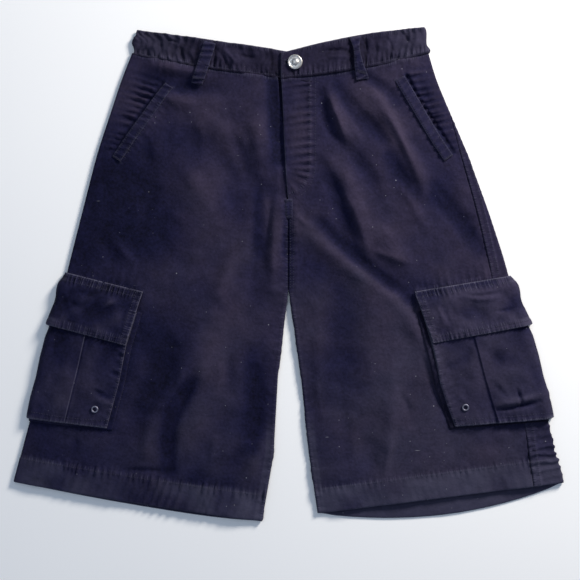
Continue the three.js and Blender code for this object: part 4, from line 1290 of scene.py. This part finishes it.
# Columns: radius and height over the foot of the cap.
CAP_PROFILE = [
    (SHANK_RADIUS, SHANK_FOOT - CAP_FOOT),
    (SHANK_RADIUS, 0.0),
    (7.4, 0.0),
    (8.1, 0.3),
    (BUTTON_RADIUS, 0.9),
    (BUTTON_RADIUS, 1.5),
    (8.2, 2.1),
    (7.7, 2.5),
    (7.2, 2.6),
    (6.7, 2.4),
    (6.3, 2.1),
    (5.9, 2.15),
    (5.2, 2.35),
    (4.5, 2.4),
    (4.1, 2.25),
    (3.8, 2.5),
    (3.2, 2.95),
    (2.2, 3.3),
    (1.1, 3.5),
    (0.25, 3.55),
]


def turned(name, profile, centre, foot, sides, mill=()):
    """A turned piece standing at a place in plan; mill is (radius, reach, count, depth)."""
    profile = np.asarray(profile, float)
    angle = np.linspace(0, 2 * np.pi, sides, endpoint=False)
    radius, height = np.meshgrid(profile[:, 0], angle)[0], np.tile(profile[:, 1], (sides, 1))
    if mill:
        at, reach, count, depth = mill
        height = height - depth * bell(radius - at, reach) * (0.5 + 0.5 * np.cos(count * angle))[:, None]
    x, y = radius * np.cos(angle)[:, None], radius * np.sin(angle)[:, None]
    points = np.stack([x + centre[0], y + centre[1], height + foot], axis=-1).reshape(-1, 3)
    rings = len(profile)
    number = np.arange(sides * rings).reshape(sides, rings)
    after = np.roll(number, -1, axis=0)
    quads = [number[:, :-1], after[:, :-1], after[:, 1:], number[:, 1:]]
    faces = np.stack(quads, axis=-1).reshape(-1, 4).tolist()
    if np.allclose(profile[0], profile[-1]):
        points = points.reshape(sides, rings, 3)[:, :-1].reshape(-1, 3)
        sector, ring = np.divmod(np.arange(sides * rings), rings)
        place = (sector * (rings - 1) + ring % (rings - 1)).tolist()
        faces = [[place[corner] for corner in face] for face in faces]
    else:
        faces += [number[::-1, 0].tolist(), number[:, -1].tolist()]
    mesh = bpy.data.meshes.new(name)
    mesh.from_pydata((points * MM + ORIGIN).tolist(), [], faces)
    mesh.shade_smooth()
    return add_object(name, mesh)


def worn_metal(name, bright, dark, roughness):
    """Plated metal rubbed bright, with dull stains in its hollows and fine scratches."""
    material, wire = new_material(name, Specular_IOR_Level=0.5)
    spot = wire.spot()
    stain = spot.noise(0.0035, detail=4.0).step(0.42, 0.68)
    grain = spot.noise(0.0006, detail=2.0)
    scratches = spot.stretch((1, 0.08, 1), turn=0.7).noise(0.0009, detail=2.0)
    connect(
        material,
        Base_Color=(stain * (0.55 + 0.5 * grain)).blend(bright, dark),
        Metallic=1.0 - 0.25 * stain,
        Roughness=roughness + 0.22 * stain + 0.10 * grain,
        Normal=(scratches * 0.00004 + grain * 0.00005).bump(0.7),
    )
    return material


button = turned("button_cap", CAP_PROFILE, BUTTON, CAP_FOOT, 96, mill=(5.0, 0.9, 48, 0.35))
button.data.materials.append(
    worn_metal("button_nickel", (0.62, 0.60, 0.57, 1), (0.16, 0.15, 0.15, 1), 0.26)
)
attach(button, "root")
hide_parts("button")


# Behind the fly: the underlap strip of twill, painted dark as shade, the closed zip's tape, and the
# doubled stub that is folded over and tacked down where the fly ends.
SHIELD = {"left": -25.0, "right": 20.0, "top": 219.5, "low": 1.8, "high": 3.0}
# The foot of the strip. Columns: x and y.
SHIELD_FOOT = [(-25, 116), (-14, 100), (8, 100), (20, 118)]
SHIELD_STITCH = 4.0


def build_shield():
    x = np.linspace(SHIELD["left"], SHIELD["right"], 36)[None, :]
    foot = np.interp(x, *zip(*SHIELD_FOOT))
    y = mix(SHIELD["top"], foot, np.linspace(0, 1, 80)[:, None])
    from_edge = x - SHIELD["left"]
    ripple = 0.0625 * puckers(y + 0.4 * x, 11.0, 81) * smooth(from_edge / 6)
    stitched = 0.15 * bell(from_edge - SHIELD_STITCH, 0.9)
    outer = SHIELD["high"] + ripple - stitched - 0.1
    inner = SHIELD["low"] + ripple + 0.1
    grids = [np.stack(np.broadcast_arrays(x, y, level), axis=-1) for level in (outer, inner)]
    return shell("fly_shield_cloth", *grids, edge=from_edge, seam=from_edge - SHIELD_STITCH, along=y)


# A navy painted dark as shadow, for the fly's underlap and the right gusset.
SHADOW_NAVY = (0.0050, 0.0050, 0.0190, 1)
shade_twill = twill("shade_twill", SHADOW_NAVY, SHADOW_NAVY, NAVY_BLUE, worn_amount=0.5, lint=0.2)
dress(build_shield(), "fly_shield", shade_twill)

tape, wire = new_material("zip_tape_weave", Sheen_Weight=0.1, Specular_IOR_Level=0.3)
spot = wire.spot()
ribs = wire.node(
    "ShaderNodeTexWave",
    {"Vector": spot.stretch((0, 1 / 0.0012, 0)), "Scale": 0.32},
    output="Fac",
    bands_direction="Y",
)
connect(
    tape,
    Base_Color=ribs.blend((0.006, 0.006, 0.012, 1), (0.016, 0.015, 0.028, 1)),
    Roughness=0.8 + 0.1 * spot.noise(0.002),
    Normal=(ribs * 0.0002).bump(0.7),
)
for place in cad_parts["fly_zip"].material_slots:
    place.link = "OBJECT"
    place.material = tape


def locate(side, x, y):
    """How far down a place in plan is, and its turn on the top."""
    low, high = np.full(x.shape, -60.0), np.full(x.shape, HEM + 60.0)
    for _ in range(36):
        middle = (low + high) / 2
        row = Section(side, middle)
        cross = row.along_x * (y - row.inner_y) - row.along_y * (x - row.inner_x)
        above = cross * HAND[side] > 0
        high, low = np.where(above, middle, high), np.where(above, low, middle)
    row = Section(side, low)
    return low, row.turn((x - row.inner_x) * row.along_x + (y - row.inner_y) * row.along_y)


STRIP_STEP, STRIP_STITCH = 1.2, 1.6


def strip_grid(side, rows):
    """Skin points under a straight strip, the way along it and the offset from its middle, and
    its width and how far it reaches in and out, from a short table of x, y and the last three."""
    rows = np.asarray(rows, float)
    lengths = np.concatenate([[0], np.cumsum(np.hypot(*np.diff(rows[:, :2], axis=0).T))])
    last = lengths[-1]
    along = ladder((0, 1.5, 0.5), (1.5, last - 1.5, STRIP_STEP), (last - 1.5, last, 0.5))
    columns = [np.interp(along, lengths, column) for column in rows.T]
    for column in columns:
        for _ in range(4):
            column[1:-1] = (column[:-2] + 2 * column[1:-1] + column[2:]) / 4
    way = np.stack([np.gradient(columns[0]), np.gradient(columns[1])])
    way /= np.linalg.norm(way, axis=0)
    x, y, width, inner, outer = (column[:, None] for column in columns)
    offset = HAND[side] * np.sin(np.linspace(-np.pi / 2, np.pi / 2, 13)) / 2 * width
    down, turn = locate(side, x - way[1][:, None] * offset, y + way[0][:, None] * offset)
    return skin(side, down, turn), along[:, None], offset, width, inner, outer


def build_strip(name, side, rows, relief, pitch=5.5):
    points, along, offset, width, inner, outer = strip_grid(side, rows)
    from_side = width / 2 - np.abs(offset)
    from_end = np.minimum(along, along.max() - along)
    rolled = 0.5 * bell(from_side, 0.8) + 0.5 * bell(from_end, 0.7)
    stitched = 0.2 * bell(from_side - STRIP_STITCH, 0.7)
    ripple = relief * puckers(along + 0.3 * offset, pitch, 91)
    top = np.maximum(outer + ripple - rolled - stitched, inner + 0.5)
    # The ridge values paint light and shade on the ripples, paint shade along the edges and make the strip
    # a little darker all over.
    return shell(
        name,
        moved_out(side, points, top),
        moved_out(side, points, inner),
        edge=np.minimum(from_side, from_end),
        seam=from_side - STRIP_STITCH,
        along=along,
        ridge=0.5 * ripple - 0.15 - 0.3 * (1 - smooth(from_side / 2.5)),
    )


strip_twill = twill("strip_twill", NAVY_BLUE, NAVY_TRIM, worn_amount=0.4, lint=0.4)
tuck = build_strip(
    "fly_tuck_cloth",
    "right",
    [(0.6, 86, 8.2, 0.3, 1.2), (0.6, 75, 9, 0.4, 1.9), (0.6, 64, 8.6, 0.3, 1.3)],
    relief=0.12,
)
dress(tuck, "fly_tuck", strip_twill)
box = [[(x, 84.5), (x, 75.0), (x, 65.5)] for x in (-1.8, 2.9)]
bars = [[(-2.5, y), (0.6, y + 0.3), (3.6, y)] for y in (84.2, 83.4, 66.6, 65.8)]
topstitch("fly_tuck_thread", tuck, [beside(line) for line in box])
topstitch("fly_tuck_tack", tuck, [beside(bar) for bar in bars], TACK_PITCH, TACK_LENGTH)


# Belt loops: folded strips of twill, tacked at the band's top edge and just below it. The loop at
# the right has rolled over on itself, so it is narrow and thick between its ends.
BAND_TOP, LOOP = BAND_OUT + SEAM_GAP, 1.5
LOOP_ROWS = {
    "left": [
        (-89, 264.0, 13.5, BAND_TOP, BAND_TOP + LOOP),
        (-90, 260.0, 13.5, BAND_TOP + 0.5, BAND_TOP + 0.5 + LOOP),
        (-96, 243.0, 13.5, BAND_TOP + 1.4, BAND_TOP + 1.4 + LOOP),
        (-101, 228.0, 13.5, BAND_TOP + 0.4, BAND_TOP + 0.4 + LOOP),
        (-103, 223.0, 13.0, BAND_TOP, BAND_TOP + LOOP + 0.6),
        (-104, 219.0, 12.5, 1.2, 2.9),
    ],
    "right": [
        (75.5, 266.0, 13.5, BAND_TOP, BAND_TOP + LOOP),
        (76.5, 258.0, 7.0, BAND_TOP + 0.6, BAND_TOP + 3.4),
        (78.0, 250.0, 7.5, BAND_TOP + 1.4, BAND_TOP + 4.4),
        (80.0, 240.0, 10.5, BAND_TOP + 1.4, BAND_TOP + 3.6),
        (83.0, 230.0, 14.0, BAND_TOP + 0.2, BAND_TOP + 0.2 + LOOP),
        (84.0, 224.5, 14.5, 1.2, 3.2),
    ],
}
for side in ("left", "right"):
    loop = build_strip(f"belt_loop_{side}_cloth", side, LOOP_ROWS[side], relief=1.1, pitch=8.0)
    dress(loop, f"belt_loop_{side}", strip_twill)
    middle = [row[:2] for row in LOOP_ROWS[side]]
    foot_x, foot_y = middle[-2]
    lines = [beside(middle[1:-1], inset) for inset in ((-4.6, 4.6) if side == "left" else (-3.0, 3.0))]
    bars = [
        [(foot_x - 5, foot_y + lift + 1.5), (foot_x, foot_y + lift), (foot_x + 5, foot_y + lift - 1.5)]
        for lift in (-1.6, -0.8, 0.0, 0.8)
    ]
    bars = [beside(bar) for bar in bars]
    topstitch(f"belt_loop_{side}_thread", loop, lines, thread=dark_thread)
    topstitch(f"belt_loop_{side}_tack", loop, bars, TACK_PITCH, TACK_LENGTH)


# Slant pocket welts: a doubled strip along each pocket mouth, stitched down both sides and
# barred at the foot.
WELT_IN, WELT_OUT = 0.4, 1.9
WELT_ROWS = {
    "left": [(-135.5, 217), (-156, 188.5), (-177, 159), (-195, 131.5)],
    "right": [(126, 225), (148, 187), (168.5, 152), (181.5, 132.5)],
}
WELT_WIDTH = {"left": 11.0, "right": 12.0}
for side in ("left", "right"):
    middle, hand = WELT_ROWS[side], HAND[side]
    rows = [(x, y, WELT_WIDTH[side], WELT_IN, WELT_OUT) for x, y in middle]
    welt = build_strip(f"welt_{side}_cloth", side, rows, relief=0.6, pitch=8.6)
    dress(welt, f"welt_{side}", strip_twill)
    inset = WELT_WIDTH[side] / 2 - 1.7
    lines = [beside(middle, inset), beside(middle, -inset)]
    topstitch(f"welt_{side}_thread", welt, lines, thread=dark_thread)
    foot_x, foot_y = middle[-1]
    bars = [
        [(foot_x + 4.5 * hand * way, foot_y + 1 + 3 * way + lift) for way in (-1, 0, 1)]
        for lift in (-0.9, 0.0, 0.9)
    ]
    bars = [beside(bar) for bar in bars]
    topstitch(f"welt_{side}_tack", welt, bars, TACK_PITCH, TACK_LENGTH)


# The cargo pockets: a folded bellows under each pocket face, a face with one pressed pleat, and a
# doubled flap that hangs over the pocket from its own topstitched seam. Both wrap the outer fold.
# How far down each pocket's top and foot lie at the outer fold, how far out its face lies, how much
# fuller it is outwards, and where across it the pleat is folded.
CARGO = {
    "left": {"top_down": 279, "foot_down": 426, "face_out": 4.0, "puff": 0.9, "pleat": 0.56},
    "right": {"top_down": 279, "foot_down": 426, "face_out": 4.2, "puff": 3.6, "pleat": 0.47},
}
# How far down each flap's top and foot lie at the outer fold, and its foot in plan.
FLAP_DOWNS = {"left": (253, 316), "right": (262, 318)}
FLAP_FOOT = {
    "left": [(-184, -80), (-241, -71), (-298, -60)],
    "right": [(161, -78), (218, -69), (275, -58)],
}
# Where the points of POCKET_SIDE lie, as shares of the pocket's height.
EDGE_SHARES = (0.0, 0.3, 0.6, 1.0)
# How far the bellows shows past the face, at its side and its foot.
GUSSET_PAST = (6.0, 3.0)
GUSSET_OUT, FACE_THICK, FLAP_THICK, WRAP_END = 1.7, 2.0, 2.3, 3.55
GUSSET_SIZE, FACE_SIZE, FLAP_SIZE = (115.0, 150.0), (118.0, 148.0), (112.0, 62.0)
# Rows of stitching in from the face's edges, the flap's top and its other edges.
FACE_ROW, FLAP_TOP_ROWS, FLAP_EDGE_ROWS = 2.0, (1.6, 7.0), (2.0, 7.5)
# Height and pitch of the ribs that the stitching draws up along the flap's top.
FLAP_RIBS = {"left": (2.3, 6.8), "right": (1.0, 5.4)}
PLEAT_STEP, PLEAT_REACH = 1.3, 0.13
FACE_IN = GUSSET_OUT + SEAM_GAP


def cargo_grid(side, across, inner_x, inner_y, outer_down):
    """A grid from a pocket's inner edge out over the top and round the outer fold."""
    start_down, start_turn = locate(side, inner_x, inner_y)
    down = mix(start_down[:, None], outer_down[:, None], across[None, :])
    turn = mix(start_turn[:, None], 2.0, across[None, :])
    wrap = np.linspace(0, 1, 12)[None, 1:]
    down = np.concatenate([down, outer_down[:, None] + 0 * wrap], axis=1)
    turn = np.concatenate([turn, mix(2.0, WRAP_END, wrap) + 0 * outer_down[:, None]], axis=1)
    return down, turn, np.concatenate([across, np.ones(wrap.shape[1])])[None, :]


def face_offset(pocket, t, share):
    """How far out a full pocket pushes its face."""
    swell = 0.8 * np.sin(np.pi * np.clip(share, 0, 1))
    puff = pocket["puff"] * mix(0.25, 1, smooth(share * 2.2))
    return pocket["face_out"] + puff * smooth(t) + swell * smooth(t * 3)


def pocket_edge(side, share, reach=0.0, foot=0.0):
    """A pocket's inner edge and its levels at the outer fold, moved out by reach and foot."""
    x, y = (np.interp(share, EDGE_SHARES, column) for column in np.transpose(POCKET_SIDE[side]))
    pocket = CARGO[side]
    outer = mix(pocket["top_down"], pocket["foot_down"] + foot, share)
    return x - HAND[side] * reach, y - foot * share, outer


def pressed_creases(rows, from_side, from_top):
    """The height that creases add. Columns: start, bend and end, width and height."""
    total = 0.0
    for start, bend, end, width, height in rows:
        signed, along, length = near_curve(bend_curve(start, bend, end), from_side, from_top)
        fading = 0.35 + 0.65 * smooth(3 * np.minimum(along, length - along) / length)
        total = total + height * bell(signed, width / 2) * fading
    return total


def build_gusset(side):
    share, across = np.linspace(0, 1, 70), np.linspace(0, 1, 60)
    down, turn, t = cargo_grid(side, across, *pocket_edge(side, share, *GUSSET_PAST))
    share = share[:, None]
    points = skin(side, down, turn)
    width, height = GUSSET_SIZE
    from_side, from_foot = t * width, (1 - share) * height
    relief = 0.25 * puckers(share * height, 13.0, 101) * np.exp(-from_side / 9)
    relief = relief + 0.2 * puckers(from_side, 11.0, 103) * np.exp(-from_foot / 7)
    rolled = 0.5 * bell(from_side, 1.0) + 0.5 * bell(from_foot, 1.0)
    edge = np.minimum(from_side, from_foot)
    # Painted shade on the left gusset beside the face's side and below its foot; the right gusset is
    # painted in shade all over.
    shaded = bell(from_side - 4.8, 3.6) * smooth((share - 0.3) / 0.3)
    shaded = np.maximum(shaded, bell(from_foot - 1.5, 3.0) * smooth((0.6 - t) / 0.2))
    unworn, shade = (FAR, shaded) if side == "left" else (0.0, 1.0)
    return shell(
        f"gusset_{side}_cloth",
        moved_out(side, points, GUSSET_OUT + relief - rolled),
        moved_out(side, points, SEAM_GAP),
        edge=edge + unworn,
        seam=edge - 1.6 + unworn,
        along=share * height + from_side,
        ridge=-shade,
    )


def build_face(side):
    pocket, fold = CARGO[side], CARGO[side]["pleat"]
    width, height = FACE_SIZE
    share = ladder((0, 0.95, 0.0125), (0.95, 1, 0.006))
    across = ladder(
        (0, 0.03, 0.006),
        (0.03, fold - 0.03, 0.014),
        (fold - 0.03, fold + 0.02, 0.005),
        (fold + 0.02, 1, 0.014),
    )
    down, turn, t = cargo_grid(side, across, *pocket_edge(side, share))
    share = share[:, None]
    points = skin(side, down, turn)
    rise = face_offset(pocket, t, share)
    pleat = PLEAT_STEP * smooth(1 + (t - fold) / PLEAT_REACH) * (1 - smooth((t - fold) / 0.010))
    from_side, from_top, from_foot = t * width, share * height, (1 - share) * height
    relief = 0.9 * puckers(from_top + 0.3 * from_side, 9.0, 111) * np.exp(-from_side / 9)
    relief += 0.7 * puckers(from_side, 8.0, 113) * np.exp(-from_foot / 8)
    relief += 1.3 * clouds(from_side, from_foot, 26, 115) + 0.7 * clouds(from_side, from_foot, 12, 117)
    creases = []
    for (near, far), (high, low), wide, tall in FACE_CREASES[side]:
        start, end = np.array([near * width, high * height]), np.array([far * width, low * height])
        creases.append((start, (start + end) / 2 + 2, end, wide, tall))
    relief += pressed_creases(creases, from_side, from_top)
    relief = relief * smooth((share - 0.17) / 0.09)
    rolled = 0.6 * bell(from_side, 0.8) + 0.6 * bell(from_foot, 0.8)
    stitched = 0.2 * (bell(from_foot - FACE_ROW, 0.8) + bell(from_side - FACE_ROW, 0.8))
    outer = rise - pleat - rolled - stitched + relief
    inner = np.maximum(FACE_IN, rise - FACE_THICK - 1.2)
    # Painted shade falls below the flap's foot and along the pleat's fold, which is rubbed at the left.
    # The ridge values also paint light and shade on the creases and puckers.
    past_fold = (t - fold) * width
    hidden = near_curve(rounded(FLAP_FOOT[side]), points[..., 0], points[..., 1])[0] * HAND[side]
    painted_shade = np.exp(np.minimum(hidden, 0) / 6.5) * (0.75 + 0.5 * wander(from_side / 14, 119))
    painted_shade = painted_shade + 0.8 * bell(past_fold + 0.6, 1.5)
    edge = np.minimum(from_side + 0.5, from_foot * 0.55)
    if side == "left":
        edge = np.minimum(edge, np.abs(past_fold - 1.1) + 0.55)
    signed, along = nearest((from_foot - FACE_ROW, from_side), (from_side - FACE_ROW, from_top))
    return shell(
        f"pocket_{side}_cloth",
        moved_out(side, points, np.maximum(outer, inner + 0.6)),
        moved_out(side, points, inner),
        edge=edge,
        seam=signed,
        along=along,
        ridge=0.28 * relief - painted_shade,
    )


def build_flap(side):
    width, height = FLAP_SIZE
    share = ladder((0, 0.06, 0.01), (0.06, 0.94, 0.022), (0.94, 1, 0.01))
    across = ladder((0, 0.03, 0.006), (0.03, 1, 0.0125))
    top, foot = FLAP_TOP[side][0], FLAP_FOOT[side][0]
    top_down, foot_down = FLAP_DOWNS[side]
    inner_x, inner_y = mix(top[0], foot[0], share), mix(top[1], foot[1], share)
    down, turn, t = cargo_grid(side, across, inner_x, inner_y, mix(top_down, foot_down, share))
    share = share[:, None]
    points = skin(side, down, turn)
    full = face_offset(CARGO[side], t, np.maximum(0, (share - 0.35) * 0.4)) + SEAM_GAP + 0.3
    inner = mix(SEAM_GAP, full, smooth(share / 0.26))
    from_top, from_foot, from_side = share * height, (1 - share) * height, t * width
    drawn, pitch = FLAP_RIBS[side]
    relief = puckers(from_side, pitch, 121) * (drawn * bell(from_top - 6, 5) + 1.2 * np.exp(-from_foot / 6))
    relief += 1.2 * puckers(from_top, 7.0, 123) * np.exp(-from_side / 6)
    relief += 1.7 * clouds(from_side, from_top * 1.2, 21, 125) + 0.8 * clouds(from_side, from_top, 10, 127)
    relief += pressed_creases(FLAP_CREASES[side], from_side, from_top)
    rolled = 0.7 * (bell(from_top, 0.8) + bell(from_foot, 0.8) + bell(from_side, 0.8))
    rows_of_stitching = [(from_top - inset, from_side) for inset in FLAP_TOP_ROWS]
    rows_of_stitching += [(from_foot - inset, from_side) for inset in FLAP_EDGE_ROWS]
    rows_of_stitching += [(from_side - inset, from_top) for inset in FLAP_EDGE_ROWS]
    stitched = 0.22 * sum(bell(distance, 0.8) for distance, _ in rows_of_stitching)
    signed, along = nearest(*rows_of_stitching)
    # The ridge values paint light and shade on the ribs, creases and puckers, and paint shade under the
    # ribs along the top.
    return shell(
        f"flap_{side}_cloth",
        moved_out(side, points, inner + FLAP_THICK + relief - rolled - stitched),
        moved_out(side, points, inner),
        edge=np.minimum(np.minimum(from_top, from_foot), from_side),
        seam=signed,
        along=along,
        ridge=0.46 * relief - 0.26 * drawn * bell(from_top - 6, 4),
    )


# Creases of the flaps. Columns: start, bend and end, as millimetres out from the flap's inner side
# and down from its top, then width and height.
FLAP_CREASES = {
    "left": [
        ((30, 22), (40, 26), (46, 36), 7, -1.4),
        ((34, 18), (46, 22), (52, 32), 6, 1.2),
        ((64, 14), (78, 18), (92, 16), 6, -1.6),
        ((78, 30), (88, 34), (100, 30), 7, -1.2),
        ((14, 20), (18, 32), (14, 44), 6, -1.0),
    ],
    "right": [
        ((56, 12), (74, 20), (96, 16), 5, -1.7),
        ((58, 17), (76, 25), (98, 22), 6, 1.2),
        ((28, 24), (26, 34), (30, 46), 6, -1.2),
        ((20, 20), (23, 32), (20, 42), 5, 1.0),
        ((84, 38), (96, 40), (110, 38), 4, -1.4),
    ],
}
# Creases of the pocket faces. Columns: across from and to, down from and to, both as shares of the
# face, then width and height in millimetres.
FACE_CREASES = {
    "left": [
        ((0.00, 0.13), (0.53, 0.53), 5, -2.4),
        ((0.00, 0.09), (0.38, 0.38), 5, -1.6),
        ((0.00, 0.27), (0.73, 0.70), 5, -3.4),
        ((0.00, 0.27), (0.79, 0.76), 8, 1.4),
        ((0.12, 0.42), (0.28, 0.60), 14, -1.6),
        ((0.66, 0.72), (0.25, 0.90), 18, 0.8),
    ],
    "right": [
        ((0.04, 0.30), (0.50, 0.42), 9, -1.5),
        ((0.28, 0.42), (0.50, 0.30), 12, -2.2),
        ((0.50, 0.98), (0.885, 0.85), 4, -4.0),
        ((0.52, 0.98), (0.84, 0.80), 7, 2.8),
        ((0.77, 0.76), (0.74, 0.87), 4, -3.0),
        ((0.60, 0.72), (0.42, 0.52), 14, -1.9),
        ((0.54, 0.64), (0.66, 0.80), 9, -1.4),
        ((0.08, 0.28), (0.62, 0.92), 11, 1.0),
    ],
}
NAVY_SHADE = (0.0150, 0.0130, 0.0340, 1)
# The right gusset's twill is painted dark as shade.
gusset_twill = twill("gusset_twill", SHADOW_NAVY, NAVY_SHADE, NAVY_TRIM, worn_amount=0.5, lint=0.3)
POCKET_WORN = (0.0850, 0.0830, 0.1260, 1)
pocket_twill = twill("pocket_twill", grey=NAVY_TRIM, worn=POCKET_WORN, worn_amount=0.9, lint=0.7)
for side in ("left", "right"):
    lining = front_twill if side == "left" else gusset_twill
    dress(build_gusset(side), f"gusset_{side}", lining)
    face, flap = build_face(side), build_flap(side)
    dress(face, f"pocket_{side}", pocket_twill)
    dress(flap, f"flap_{side}", pocket_twill)
    hand = HAND[side]
    lines = [beside(line[side], FACE_ROW * hand) for line in (POCKET_SIDE, POCKET_FOOT)]
    lines.append(beside(POCKET_FOOT[side], (FACE_ROW + 6.0) * hand))
    topstitch(f"pocket_{side}_thread", face, lines)
    top, foot = np.array(FLAP_TOP[side][0]), np.array(FLAP_FOOT[side][0])
    lines = [beside(FLAP_TOP[side], -inset * hand) for inset in FLAP_TOP_ROWS]
    for line in (FLAP_FOOT[side], [top, (top + foot) / 2, foot]):
        lines += [beside(line, inset * hand) for inset in FLAP_EDGE_ROWS]
    topstitch(f"flap_{side}_thread", flap, lines)


# Drain eyelets: small rolled rings of dark enamelled metal, rubbed pale, clenched through the
# foot of each pocket face.
EYELETS = {"left": (-219, -152), "right": (200, -150)}
EYELET_PROFILE = [
    (2.1, 0.0), (3.9, -0.1), (4.2, 0.2), (4.0, 0.7), (3.5, 1.05), (2.8, 1.0), (2.2, 0.6), (2.1, 0.0)
]
eyelet_metal = worn_metal("eyelet_enamel", (0.20, 0.20, 0.26, 1), (0.05, 0.05, 0.08, 1), 0.45)
for side in ("left", "right"):
    node_low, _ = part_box(f"eyelet_{side}")
    ring = turned(f"eyelet_{side}_ring", EYELET_PROFILE, EYELETS[side], node_low[2] / MM, 40)
    ring.data.materials.append(eyelet_metal)
    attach(ring, "root")
    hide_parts(f"eyelet_{side}")
